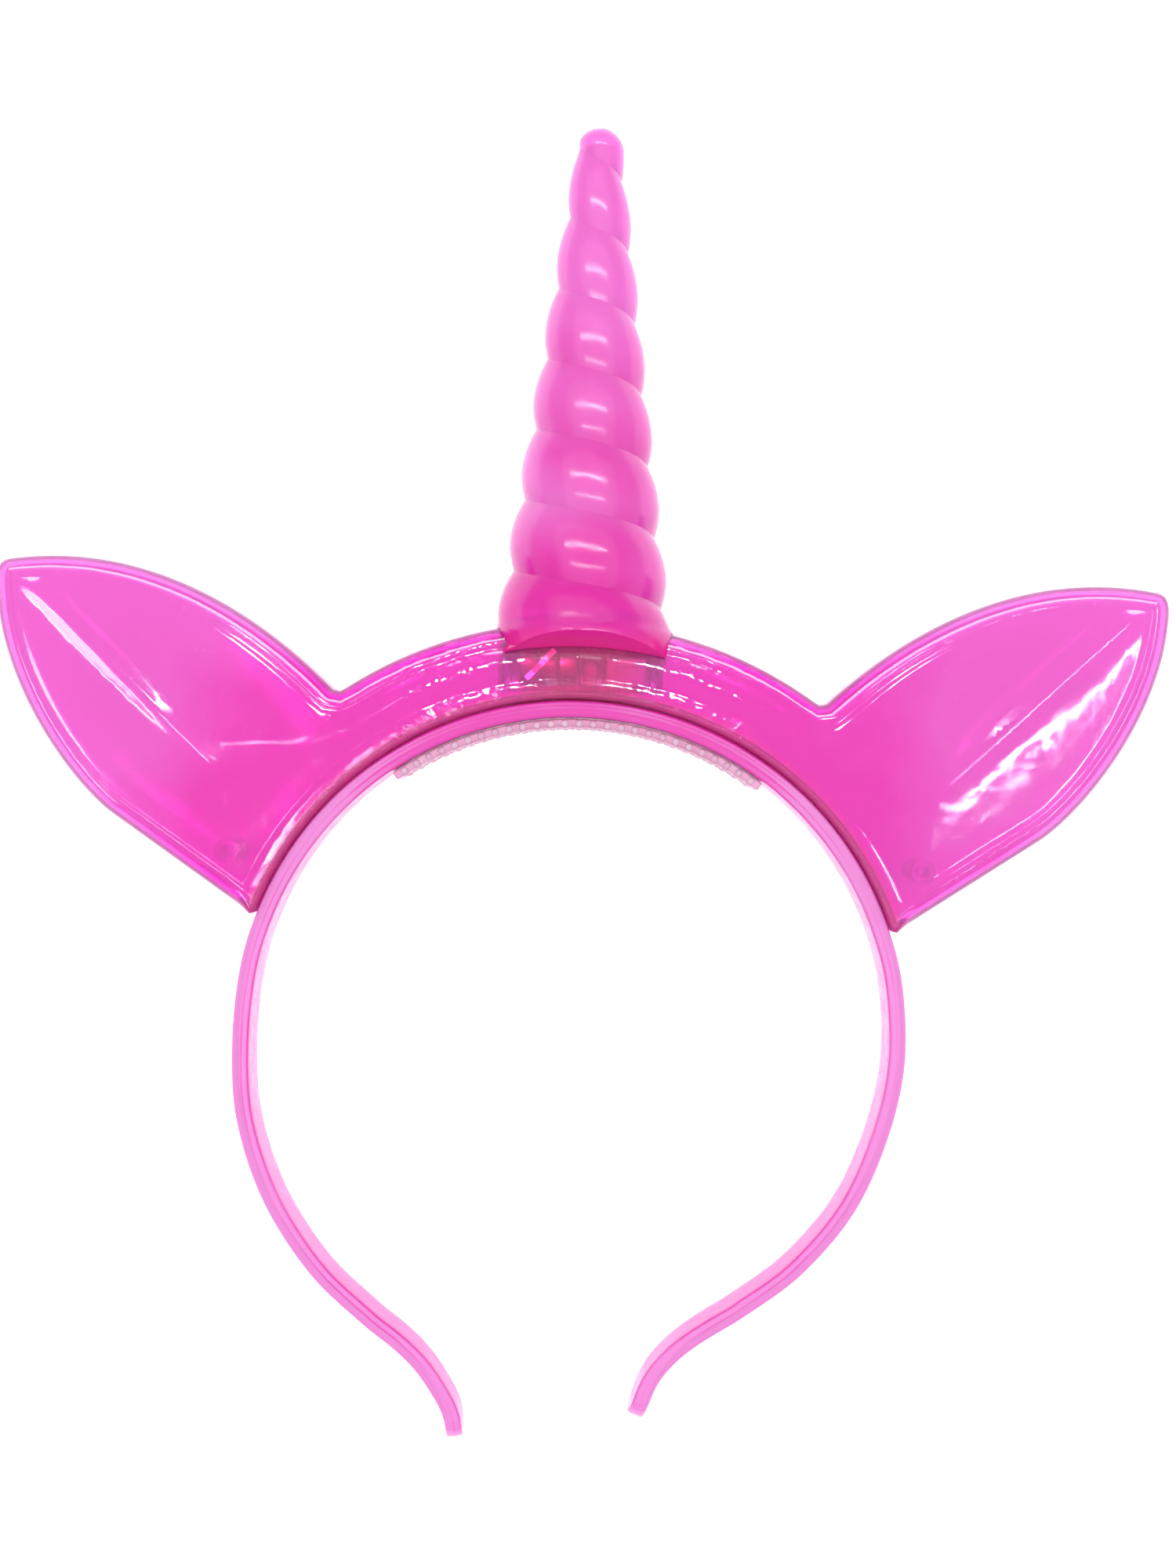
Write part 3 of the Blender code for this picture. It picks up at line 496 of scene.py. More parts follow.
horn = {
    "length": 99.5,
    "radiusBase": 17.6,
    "radiusTip": 5.0,
    "wall": 1.2,
    "lean": 0.2,                # degrees
    "pitch": 14.25,
    "grooveStart": 3.2,
    "depthBase": 1.9,
    "depthTip": 1.1,
    "sides": 96,
    "rowsPerTurn": 18,
    "flare": 0.8,
    "flareHeight": 2.4,
    "flareLevel": -2.2,
    "lapSlope": 0.27,
    "tipSolid": 4.0,
    "well": 6.0,
    "below": 3.0,               # how far the plain cone runs on under its lap
    "saddleReach": 1.5,         # block that cuts the foot: height as a share of the radius
    "saddleHalfAngle": 20,
    "saddleLevels": 25,
    "saddleSteps": 80,
}


def hornRadius(level, share):
    # radius at a level over the crown's top, for a place between two turns of the groove
    along = level / (horn["length"] - horn["radiusTip"])
    near = min(1.0, along)
    body = horn["radiusBase"] + (horn["radiusTip"] - horn["radiusBase"]) * near
    depth = horn["depthBase"] + (horn["depthTip"] - horn["depthBase"]) * max(0.0, near)
    over = max(0.0, level - (horn["length"] - horn["radiusTip"])) / horn["radiusTip"]
    cap = math.sqrt(max(0.0, 1 - over ** 2))
    flareShare = 1 - (level - horn["flareLevel"]) / horn["flareHeight"]
    flare = horn["flare"] * min(1.0, max(0.0, flareShare)) ** 2
    return (body - depth * (1 - over) * (2 * share - 1) ** 2) * cap + flare


def hornOutside():
    # a grid wound round with the groove, so that its crease is one sharp line
    bottom = -(fit["hornLap"] + horn["below"])
    firstTurn = math.floor((bottom - horn["grooveStart"]) / horn["pitch"]) - 1
    lastTurn = math.ceil((horn["length"] - horn["grooveStart"]) / horn["pitch"]) + 1
    rows = (lastTurn - firstTurn) * horn["rowsPerTurn"]
    form = newGrid(horn["sides"], rows)
    for vert in form.verts:
        side = vert.co.x
        winding = firstTurn + vert.co.y * (lastTurn - firstTurn)
        level = horn["grooveStart"] + horn["pitch"] * (winding + side)
        level = min(max(level, bottom), horn["length"])
        share = ((level - horn["grooveStart"]) / horn["pitch"] - side + 1e-6) % 1
        radius = hornRadius(level, share)
        angle = 2 * math.pi * side
        vert.co = Vector((radius * math.cos(angle), level, radius * math.sin(angle)))
    bmesh.ops.remove_doubles(form, verts=form.verts, dist=0.002)
    bmesh.ops.dissolve_degenerate(form, edges=form.edges, dist=0.001)
    loose = [vert for vert in form.verts if not vert.link_faces]
    bmesh.ops.delete(form, geom=loose, context="VERTS")
    rims = [edge for edge in form.edges if edge.is_boundary]
    bmesh.ops.holes_fill(form, edges=rims, sides=0)
    bmesh.ops.recalc_face_normals(form, faces=form.faces)
    return form


def uprightCone(start, end, wide, narrow):
    form = bmesh.new()
    place = (Matrix.Translation((0, (start + end) / 2, 0))
             @ Matrix.Rotation(math.radians(-90), 4, "X"))
    bmesh.ops.create_cone(form, cap_ends=True, segments=horn["sides"],
                          radius1=wide, radius2=narrow,
                          depth=end - start, matrix=place)
    return form


def saddleBlock():
    # the crown's own section with the seat gap, turned about the hoop's centre
    far = horn["radiusBase"] * horn["saddleReach"]
    lapRadius = crownRadius() - fit["hornLap"]
    steps = np.linspace(fit["hornLap"], -fit["gap"], horn["saddleLevels"])
    face = [(crownRadius() - d, float(shellHeight(d, -fit["gap"]))) for d in steps]
    slopeEnd = (lapRadius + (far - face[0][1]) * horn["lapSlope"], far)
    half = [(crownInnerRadius(), far), slopeEnd] + face
    section = half + [(radius, -height) for radius, height in half[::-1]]
    form = bmesh.new()
    start = onCircle(1.0, -math.radians(horn["saddleHalfAngle"]))
    verts = [form.verts.new((start.x * radius, start.y * radius, height))
             for radius, height in section]
    bmesh.ops.spin(form, geom=[form.faces.new(verts)], cent=(0, 0, 0), axis=(0, 0, -1),
                   angle=math.radians(2 * horn["saddleHalfAngle"]), steps=horn["saddleSteps"],
                   use_merge=False)
    bmesh.ops.recalc_face_normals(form, faces=form.faces)
    return form


def makeHorn(material):
    start = fit["gap"] + horn["wall"]
    end = horn["length"] - horn["tipSolid"]
    hollow = uprightCone(start, end, hornRadius(start, 0) - horn["wall"],
                         hornRadius(end, 0) - horn["wall"])
    well = uprightCone(-fit["hornLap"], start + horn["wall"], horn["well"], horn["well"])
    form = combine(hornOutside(), combine(hollow, well, "UNION"), "DIFFERENCE")
    raised = (Matrix.Rotation(-math.radians(horn["lean"]), 4, "Z")
              @ Matrix.Translation((0, crownRadius(), 0)))
    bmesh.ops.transform(form, matrix=raised, verts=form.verts)
    form = combine(form, saddleBlock(), "DIFFERENCE")
    finishPiece("horn_shell", form, material, ["horn"], 30)
    print("horn made")


# Hoop: a springy strip, wide on the head and narrower at its ends

hoop = {
    "widthTop": 15.0,
    "widthEnd": 9.5,
    "edgeRound": 0.7,
    "fullWidthAngle": 45,       # degrees from the top
    "arcEndAngle": 80,
    "step": 1.6,
    "rows": 4,
    "endTurns": range(12, 90, 6),    # degrees round each end
    # degrees from the top, distance from the centre as a share of the hoop's radius
    "leftLeg": ((93, 1.003), (106, 1.021), (120, 1.035), (134, 1.048), (146, 1.057),
                (152, 1.069), (157, 1.098), (161.2, 1.150), (164.3, 1.213), (165.8, 1.289)),
    "rightLeg": ((93, 0.999), (106, 0.993), (120, 0.995), (134, 0.989), (146, 0.983),
                 (152, 0.987), (157, 1.001), (161.3, 1.030), (165.3, 1.086), (168.7, 1.190)),
}


def hoopCourse():
    # a smooth line through all its knots, from the left end over the top to the right end
    top = [onCircle(fit["hoopRadius"], math.radians(angle))
           for angle in range(-hoop["arcEndAngle"], hoop["arcEndAngle"] + 1, 10)]
    legs = [[onCircle(fit["hoopRadius"] * share, side * math.radians(angle))
             for angle, share in hoop[leg]] for leg, side in (("leftLeg", -1), ("rightLeg", 1))]
    knots = legs[0][::-1] + top + legs[1]
    ends = [knots[0] * 2 - knots[1]] + knots + [knots[-1] * 2 - knots[-2]]
    run = []
    for a, b, c, d in zip(ends, ends[1:], ends[2:], ends[3:]):
        for i in range(12):
            t = i / 12
            bend = (a * -1 + b * 3 - c * 3 + d) * t ** 3 + (a * 2 - b * 5 + c * 4 - d) * t ** 2
            run.append(b + (bend + (c - a) * t) / 2)
    return run + [knots[-1]]


def hoopWidth(place, length):
    full = fit["hoopRadius"] * math.radians(hoop["fullWidthAngle"])
    past = max(0.0, abs(place - length / 2) - full) / (length / 2 - full)
    width = hoop["widthTop"] + (hoop["widthEnd"] - hoop["widthTop"]) * past
    reach = min(1.0, min(place, length - place) / (hoop["widthEnd"] / 2))
    return width * math.sqrt(1 - (1 - reach) ** 2)


def markAcross(form, course):
    # each point's distance from the strip's middle line, for the lines along the strip
    start = np.array([(p.x, p.y) for p in course[:-1]])
    run = np.array([(p.x, p.y) for p in course[1:]]) - start
    layer = form.verts.layers.float.new("across")
    for vert in form.verts:
        away = np.array(vert.co[:2]) - start
        share = np.clip((away * run).sum(axis=1) / (run ** 2).sum(axis=1), 0, 1)
        left = away - share[:, None] * run
        closest = int((left ** 2).sum(axis=1).argmin())
        side = run[closest][0] * left[closest][1] - run[closest][1] * left[closest][0]
        vert[layer] = math.copysign(float(np.linalg.norm(left[closest])), side)


def makeHoop(material):
    course = hoopCourse()
    marks = np.cumsum([0.0] + [(b - a).length for a, b in zip(course, course[1:])])
    length = marks[-1]
    endRound = hoop["widthEnd"] / 2
    endSteps = [endRound * (1 - math.cos(math.radians(a))) for a in hoop["endTurns"]]
    count = round((length - 2 * endRound) / hoop["step"])
    middles = [endRound + (length - 2 * endRound) * i / count for i in range(count + 1)]
    places = endSteps + middles + [length - step for step in endSteps[::-1]]
    xs = np.interp(places, marks, [point.x for point in course])
    ys = np.interp(places, marks, [point.y for point in course])
    form = newGrid(len(places) - 1, hoop["rows"])
    for vert in form.verts:
        index = round(vert.co.x * (len(places) - 1))
        width = hoopWidth(places[index], length)
        vert.co = Vector((xs[index], ys[index], (vert.co.y - 0.5) * width))
    form.normal_update()
    for vert in form.verts:
        outward = vert.normal if vert.normal.dot(vert.co) > 0 else -vert.normal
        vert.co += outward * fit["stripThickness"] / 2
    giveWall(form, fit["stripThickness"])
    roundCorners(form, hoop["edgeRound"], 5)
    markAcross(form, course)
    finishPiece("hoop_band", form, material, ["headband"])
    print("hoop made")


# Comb: a pale strip with rows of round nubs inside the top of the hoop

comb = {
    "halfAngle": 35.5,
    "thickness": 1.75,
    "width": 12.4,
    "depth": 2.1,
    "cornerRound": 0.35,
    "steps": (80, 6),           # along and across
    "pitch": 2.8,
    "rowPitch": 4.2,
    "rows": 3,
    "nubRadius": 0.95,
    "nubSink": 0.3,
    "frontNub": (0.75, 0.7, 0.35),   # half its size along, across and out of the front edge
}


def addNub(form, radius, angle, across, sizes):
    place = (Matrix.Translation(onCircle(radius, angle) + Vector((0, 0, across)))
             @ Matrix.Rotation(-angle, 4, "Z") @ Matrix.Diagonal((*sizes, 1)))
    bmesh.ops.create_icosphere(form, subdivisions=2, radius=1, matrix=place)


def makeComb(material, nubMaterial):
    outer = fit["hoopRadius"] - fit["stripThickness"] / 2 - fit["gap"]
    inner = outer - comb["thickness"]
    form = newGrid(*comb["steps"])
    for vert in form.verts:
        angle = math.radians((vert.co.x - 0.5) * 2 * comb["halfAngle"])
        height = (vert.co.y - 0.5) * comb["width"]
        vert.co = onCircle(outer, angle) + Vector((0, 0, height))
    form.normal_update()
    giveWall(form, comb["thickness"])
    roundCorners(form, comb["cornerRound"], 3)
    nubs = bmesh.new()
    root = inner + comb["nubSink"]
    tall = root - (outer - comb["depth"])
    sizes = (comb["nubRadius"], tall, comb["nubRadius"])
    radius = (outer + inner) / 2
    count = int(2 * math.radians(comb["halfAngle"]) * radius / comb["pitch"])
    for row in range(comb["rows"]):
        across = (row - (comb["rows"] - 1) / 2) * comb["rowPitch"]
        inRow = count - row % 2
        for i in range(inRow):
            angle = (i - (inRow - 1) / 2) * comb["pitch"] / radius
            addNub(nubs, root, angle, across, sizes)
    for i in range(count):
        angle = (i - (count - 1) / 2) * comb["pitch"] / radius
        addNub(nubs, radius, angle, comb["width"] / 2, comb["frontNub"])
    finishPiece("comb_row", form, material, ["comb_strip"], 40)
    finishPiece("comb_nubs", nubs, nubMaterial, ["comb_strip"], 60)
    print("comb made")


# Light unit: cells, lamp and switch block in a clear tray

unit = {
    "trayDepth": 8.0,
    "trayRound": (0.25, 0.15),       # outside and inside
    "ribPlaces": (-14.4, -0.5, 4.2, 13.7),
    "ribThickness": 0.5,
    "ribInset": 0.1,
    "ribTop": -2.2,
    "cellThickness": 3.6,
    "cellCount": 3,
    "cellsEnd": -0.8,
    # half a cell's section: share of its radius, and how far below the flat face
    "cellFront": ((0, 0), (0.74, 0), (0.76, 0.25), (0.84, 0.25), (0.88, 0.1), (0.96, 0.15),
                  (1, 0.45)),
    "cellBack": ((1, 0.25), (0.95, 0), (0, 0)),
    "lampPlace": 1.9,
    "lampRadius": 1.5,
    "lampFlange": 1.9,
    "lampFlangeHeight": 0.8,
    "lampHeight": 5.2,
    "lampEdge": 0.1,
    "blockPlace": 9.0,
    "blockSize": (8.0, 5.8, 7.2),
    "blockRound": 0.6,
    "slotHalf": (2.6, 1.1),
    "slotDepth": 0.5,
    "sliderFrom": (-1.9, -0.8, -1.0),    # from the middle of the block's front
    "sliderTo": (-0.1, 0.8, -0.1),
    "contactWidth": 1.1,
    "contactThickness": 0.3,
    "contactRun": 5.5,
    "contactSlant": 46,
    "contactPlace": 0.62,       # share of the row of cells
    "contactRipple": 0.12,
    "contactSteps": (24, 4),
}


def innerFloor():
    return trayFloor() + fit["trayWall"] + fit["gap"]


def boxForm(low, high, rounding, segments=3):
    form = bmesh.new()
    bmesh.ops.create_cube(form, size=1)
    size = Vector(high) - Vector(low)
    bmesh.ops.scale(form, vec=size, verts=form.verts)
    bmesh.ops.translate(form, vec=(Vector(high) + Vector(low)) / 2, verts=form.verts)
    bmesh.ops.bevel(form, geom=form.edges[:], offset=rounding, offset_type="OFFSET",
                    affect="EDGES", segments=segments, profile=0.5, material=-1)
    return form


def makeTray(material):
    half = trayHalfHeight()
    low = Vector((-fit["trayLength"] / 2, trayFloor(), -half))
    high = Vector((fit["trayLength"] / 2, trayFloor() + 2 * half, unit["trayDepth"] - half))
    wall = Vector((fit["trayWall"],) * 3)
    outerRound, innerRound = unit["trayRound"]
    outside = boxForm(low, high, outerRound)
    room = boxForm(low + wall, high - wall + Vector((0, 0, 5)), innerRound)
    form = combine(outside, room, "DIFFERENCE")
    ribs = bmesh.new()
    inset = unit["ribInset"]
    for place in unit["ribPlaces"]:
        rib = boxForm((place, low.y + inset, low.z + inset),
                      (place + unit["ribThickness"], high.y - inset, unit["ribTop"]), 0.1, 1)
        mergeForms(ribs, rib)
    form = combine(form, ribs, "UNION")
    finishPiece("light_tray", form, material, ["battery_holder"])


def makeCells(steel):
    # each cell: a can with a rolled edge, a plastic ring and a raised cap
    radius = fit["cellRadius"]
    thick = unit["cellThickness"]
    outline = [(thick / 2 - drop, radius * share) for share, drop in unit["cellFront"]]
    outline += [(drop - thick / 2, radius * share) for share, drop in unit["cellBack"]]
    for index in range(unit["cellCount"]):
        place = unit["cellsEnd"] - thick / 2 - index * (thick + fit["gap"])
        form = turnedForm(outline, (1, 0, 0), 64)
        bmesh.ops.translate(form, vec=(place, innerFloor() + radius, 0), verts=form.verts)
        number = str(index + 1)
        finishPiece("cell_can_" + number, form, steel, ["button_cell_" + number])


def makeLamp(material):
    radius = unit["lampRadius"]
    wide = unit["lampFlange"]
    step = unit["lampFlangeHeight"]
    edge = unit["lampEdge"]
    turns = [math.radians(angle) for angle in range(0, 91, 9)]
    outline = [(radius * math.sin(turn), unit["lampHeight"] - radius * (1 - math.cos(turn)))
               for turn in turns]
    outline += [(radius, step + edge), (radius + edge, step), (wide - edge, step),
                (wide, step - edge), (wide, edge), (wide - edge, 0), (0, 0)]
    form = turnedForm(outline, (0, 1, 0), 48)
    bmesh.ops.translate(form, vec=(unit["lampPlace"], innerFloor(), 0), verts=form.verts)
    finishPiece("lamp_lens", form, material, ["led_lamp"])


def makeBlock(material):
    length, height, depth = unit["blockSize"]
    middle = Vector((unit["blockPlace"], innerFloor() + height / 2, depth / 2 - fit["cellRadius"]))
    half = Vector((length, height, depth)) / 2
    form = boxForm(middle - half, middle + half, unit["blockRound"], 4)
    front = middle + Vector((0, 0, half.z))
    slotSize = Vector((*unit["slotHalf"], 0))
    slot = boxForm(front - slotSize - Vector((0, 0, unit["slotDepth"])),
                   front + slotSize + Vector((0, 0, 1)), 0.2)
    form = combine(form, slot, "DIFFERENCE")
    slider = boxForm(front + Vector(unit["sliderFrom"]), front + Vector(unit["sliderTo"]), 0.2)
    form = combine(form, slider, "UNION")
    finishPiece("switch_body", form, material, ["switch_block"])


def makeContact(material):
    thick = unit["cellThickness"]
    run = unit["cellCount"] * (thick + fit["gap"])
    front = fit["cellRadius"] + fit["gap"] + unit["contactThickness"] / 2
    length = unit["contactRun"] / math.cos(math.radians(unit["contactSlant"]))
    form = newGrid(*unit["contactSteps"])
    for vert in form.verts:
        x = (vert.co.x - 0.5) * length
        dip = unit["contactRipple"] * math.cos(vert.co.x * 4 * math.pi)
        vert.co = Vector((x, (vert.co.y - 0.5) * unit["contactWidth"], dip))
    bmesh.ops.solidify(form, geom=form.faces, thickness=unit["contactThickness"] * 0.8)
    place = (Matrix.Translation((unit["cellsEnd"] - run * unit["contactPlace"],
                                 innerFloor() + fit["cellRadius"], front))
             @ Matrix.Rotation(math.radians(unit["contactSlant"]), 4, "Z"))
    bmesh.ops.transform(form, matrix=place, verts=form.verts)
    bmesh.ops.recalc_face_normals(form, faces=form.faces)
    finishPiece("contact_spring", form, material, ["contact_strip"])


# Materials: clear coloured plastic with uneven depth of colour and some painted shade and light,
# and small metal pieces

crownLook = {
    "deep": (0.865, 0.035, 0.64, 1),
    "pale": (0.86, 0.212, 0.72, 1),
    "cloudScale": 22,           # for each metre
    "fade": (66, 122),          # deep and pale at these distances from the hoop's centre
    "transmission": 0.8,
    "roughness": (0.05, 0.10),
    "waves": 0.16,
    "flecks": (0, 76, 36, 46),   # small dents in the arc: place and reach
    "calm": (13, 19, 0.08),     # hardly any of them over the light unit
    "fleckScale": 380,
    "paintedPaleWindow": (0, 73, 11, 20, 0.08),   # painted light: the wall is paler round the light unit, so its glint and pale block show through; place, reach, share
    "shades": (((0, 0, 67.4, 70.5, 0.9), (1.0, 0.07, 0.50, 1)),     # painted shade along the hoop, in the groove where the crown meets it
               ((0, 77, 11, 19, 0.8), (0.95, 0.06, 0.40, 1))),      # painted shade over the light unit inside
    "seamBlur": (67.4, 69.5, 0.3),       # roughness along the hoop
    "dents": (0.2, 2.0),        # on the ears and on the arc
    "shine": 0.38,
}
hornLook = {
    "deep": (0.88, 0.010, 0.47, 1),
    "pale": (0.94, 0.19, 0.73, 1),
    "cloudScale": 30,
    "fade": (85, 150),
    "shades": (((0, 0, 80.0, 83.0, 0.8), (1.0, 0.03, 0.37, 1)),),    # painted shade: crimson at the foot, under its lap over the crown
    "transmission": 0.4,
    "roughness": (0.12, 0.22),
    "waves": 0.3,
}
bandLook = {
    "deep": (0.87, 0.05, 0.51, 1),
    "pale": (0.88, 0.275, 0.74, 1),
    "cloudScale": 35,
    "fade": (8, 62),
    "fadeMiddle": (0, 66),
    "lines": (1.6, 0.22),       # for each millimetre across the strip, and how strongly they tint
    "innerShade": (-1.65, -1.2, -0.6),   # painted shade: the side on the head is deeper
    "transmission": 0.4,
    "roughness": (0.12, 0.25),
    "waves": 0.3,
}
combLook = {
    "deep": (0.84, 0.36, 0.60, 1),
    "pale": (0.95, 0.62, 0.82, 1),
    "cloudScale": 60,
    "transmission": 0.45,
    "roughness": (0.12, 0.3),
    "waves": 0.3,
}
# painted highlight: the nubs get a paler copy of the comb's pink, as where they catch the light
nubHighlightLook = {
    "deep": (0.90, 0.52, 0.74, 1),
    "pale": (0.97, 0.72, 0.87, 1),
    "cloudScale": 90,
    "transmission": 0.4,
    "roughness": (0.12, 0.3),
    "waves": 0.1,
}
trayLook = {
    "deep": (0.42, 0.10, 0.11, 1),
    "pale": (0.66, 0.22, 0.24, 1),
    "cloudScale": 80,
    "transmission": 0.2,
    "roughness": (0.15, 0.35),
    "waves": 0.2,
}
lampLook = {
    "deep": (0.95, 0.88, 0.92, 1),
    "pale": (1.0, 0.97, 0.98, 1),
    "cloudScale": 200,
    "transmission": 0.15,
    "roughness": (0.04, 0.12),
    "waves": 0.1,
}
blockLook = {
    "deep": (0.92, 0.86, 0.88, 1),
    "pale": (1.0, 0.97, 0.98, 1),
    "cloudScale": 150,
    "transmission": 0.0,
    "roughness": (0.3, 0.5),
    "waves": 0.2,
}
steelLook = {
    "deep": (0.20, 0.08, 0.07, 1),
    "pale": (0.44, 0.24, 0.22, 1),
    "cloudScale": 240,
    "roughness": (0.25, 0.5),
    "waves": 0.15,
}
contactLook = {
    "deep": (0.86, 0.72, 0.62, 1),
    "pale": (0.98, 0.92, 0.82, 1),
    "cloudScale": 300,
    "roughness": (0.2, 0.4),
    "waves": 0.1,
}


def addNode(tree, kind, **values):
    node = tree.nodes.new(kind)
    for name, value in values.items():
        node.inputs[name.replace("_", " ")].default_value = value
    return node


def mathOf(tree, operation, first, second):
    step = tree.nodes.new("ShaderNodeMath")
    step.operation = operation
    tree.links.new(first, step.inputs[0])
    tree.links.new(second, step.inputs[1])
    return step.outputs["Value"]


def rangeOf(tree, value, start, end, low, high):
    # a value from start to end is spread from low to high, and held there outside
    share = addNode(tree, "ShaderNodeMapRange", From_Min=start, From_Max=end,
                    To_Min=low, To_Max=high)
    tree.links.new(value, share.inputs["Value"])
    return share.outputs["Result"]


def noiseOf(tree, place, scale, detail, roughness=0.5):
    noise = addNode(tree, "ShaderNodeTexNoise", Scale=scale, Detail=detail, Roughness=roughness)
    tree.links.new(place, noise.inputs["Vector"])
    return noise.outputs["Fac"]


def distanceFrom(tree, place, middle):
    # distance from a point of the headband's own frame
    spot = onTable @ Vector((*middle, 0))
    centred = addNode(tree, "ShaderNodeMapping", Location=-spot)
    reach = tree.nodes.new("ShaderNodeVectorMath")
    reach.operation = "LENGTH"
    tree.links.new(place, centred.inputs["Vector"])
    tree.links.new(centred.outputs["Vector"], reach.inputs[0])
    return reach.outputs["Value"]


def nearOf(tree, place, middle, near, far, low, high):
    # low within the near distance of a point, high past the far one, in millimetres
    reach = distanceFrom(tree, place, middle)
    return rangeOf(tree, reach, near * millimetre, far * millimetre, low, high)


# values that all the materials share
common = {
    "rampEnds": (0.35, 0.65),
    "noiseEnds": (0.3, 0.7),    # where most of a noise lies
    "fadeShare": 0.25,
    "fineScale": 9,             # times the clouds' scale
    "swellScale": 4,
    "bumpDistance": 0.0006,
    "refraction": 1.49,
}


def plasticMaterial(name, look, metallic=0.0):
    material = bpy.data.materials.new(name)
    material.use_nodes = True
    tree = material.node_tree
    shader = tree.nodes["Principled BSDF"]
    place = tree.nodes.new("ShaderNodeTexCoord").outputs["Object"]
    low, high = common["noiseEnds"]
    depth = noiseOf(tree, place, look["cloudScale"], 3.0, 0.45)
    if "fade" in look:
        share = nearOf(tree, place, look.get("fadeMiddle", (0, 0)), *look["fade"],
                       -common["fadeShare"], common["fadeShare"])
        depth = mathOf(tree, "ADD", depth, share)
    # painted light: a paler wall round a point
    if "paintedPaleWindow" in look:
        x, y, near, far, amount = look["paintedPaleWindow"]
        depth = mathOf(tree, "ADD", depth, nearOf(tree, place, (x, y), near, far, amount, 0.0))
    if "lines" in look:
        across = tree.nodes.new("ShaderNodeAttribute")
        across.attribute_name = "across"
        scale, amount = look["lines"]
        grain = addNode(tree, "ShaderNodeTexNoise", Scale=scale, Detail=1.5)
        grain.noise_dimensions = "1D"
        tree.links.new(across.outputs["Fac"], grain.inputs["W"])
        share = rangeOf(tree, grain.outputs["Fac"], low, high, -amount, amount)
        depth = mathOf(tree, "ADD", depth, share)
        # painted shade on the strip's side towards the head
        near, far, amount = look["innerShade"]
        share = rangeOf(tree, across.outputs["Fac"], near, far, amount, 0.0)
        depth = mathOf(tree, "ADD", depth, share)
    tint = tree.nodes.new("ShaderNodeValToRGB")
    for end, position, shade in zip(tint.color_ramp.elements, common["rampEnds"],
                                    (look["deep"], look["pale"])):
        end.position = position
        end.color = shade
    tree.links.new(depth, tint.inputs["Fac"])
    colour = tint.outputs["Color"]
    # painted shade: colours mixed in near given points (the looks' shades)
    for (x, y, near, far, amount), shade in look.get("shades", ()):
        share = nearOf(tree, place, (x, y), near, far, amount, 0.0)
        blend = addNode(tree, "ShaderNodeMixRGB", Color2=shade)
        tree.links.new(share, blend.inputs["Fac"])
        tree.links.new(colour, blend.inputs["Color1"])
        colour = blend.outputs["Color"]
    tree.links.new(colour, shader.inputs["Base Color"])
    fine = noiseOf(tree, place, look["cloudScale"] * common["fineScale"], 4.0)
    matt = rangeOf(tree, fine, low, high, *look["roughness"])
    if "seamBlur" in look:
        near, far, amount = look["seamBlur"]
        share = nearOf(tree, place, (0, 0), near, far, amount, 0.0)
        matt = mathOf(tree, "ADD", matt, share)
    tree.links.new(matt, shader.inputs["Roughness"])
    height = noiseOf(tree, place, look["cloudScale"] * common["swellScale"], 2.0)
    if "flecks" in look:
        x, y, near, far = look["flecks"]
        calmNear, calmFar, least = look["calm"]
        inEars, inArc = look["dents"]
        share = mathOf(tree, "MULTIPLY", nearOf(tree, place, (x, y), near, far, inArc, inEars),
                       nearOf(tree, place, (x, y), calmNear, calmFar, least, 1.0))
        dents = noiseOf(tree, place, look["fleckScale"], 1.0)
        height = mathOf(tree, "ADD", height, mathOf(tree, "MULTIPLY", share, dents))
    bump = addNode(tree, "ShaderNodeBump", Strength=look["waves"],
                   Distance=common["bumpDistance"])
    tree.links.new(height, bump.inputs["Height"])
    tree.links.new(bump.outputs["Normal"], shader.inputs["Normal"])
    shader.inputs["Metallic"].default_value = metallic
    shader.inputs["IOR"].default_value = common["refraction"]
    shader.inputs["Specular IOR Level"].default_value = look.get("shine", 0.5)
    shader.inputs["Transmission Weight"].default_value = look.get("transmission", 0.0)
    return material


# Build

crownPink = plasticMaterial("crown clear pink", crownLook)
hornPink = plasticMaterial("horn clear pink", hornLook)
bandPink = plasticMaterial("hoop pink", bandLook)
combPale = plasticMaterial("comb pale pink", combLook)
# painted highlight on the comb's nubs: a paler copy of its pink
nubHighlightPale = plasticMaterial("comb nub painted highlight", nubHighlightLook)
trayClear = plasticMaterial("tray clear", trayLook)
lampClear = plasticMaterial("lamp lens", lampLook)
blockWhite = plasticMaterial("switch white", blockLook)
cellSteel = plasticMaterial("cell steel", steelLook, 1.0)
contactMetal = plasticMaterial("contact brass", contactLook, 1.0)

makeCrown(crownPink)
makeHorn(hornPink)
makeHoop(bandPink)
makeComb(combPale, nubHighlightPale)
makeTray(trayClear)
makeCells(cellSteel)
makeLamp(lampClear)
makeBlock(blockWhite)
makeContact(contactMetal)
print("light unit made")


# Stage: a plain pale floor, soft studio light, and the camera over the table

stage = {
    "floorSize": 6.0,
    "floorColours": ((0.92, 0.92, 0.92, 1), (0.93, 0.93, 0.93, 1)),
    "cameraAim": (2.13, 50.3),  # where the camera's axis meets the seam's plane
    "cameraDistance": 430.0,
    "cameraTurn": 1.73,         # degrees
    "imageHeight": 315.1,       # millimetres at the seam's plane
    "sensor": 36.0,
    "skyStrength": 0.85,
    "floorGlow": 0.6,           # light from under the floor, as on a light table
}


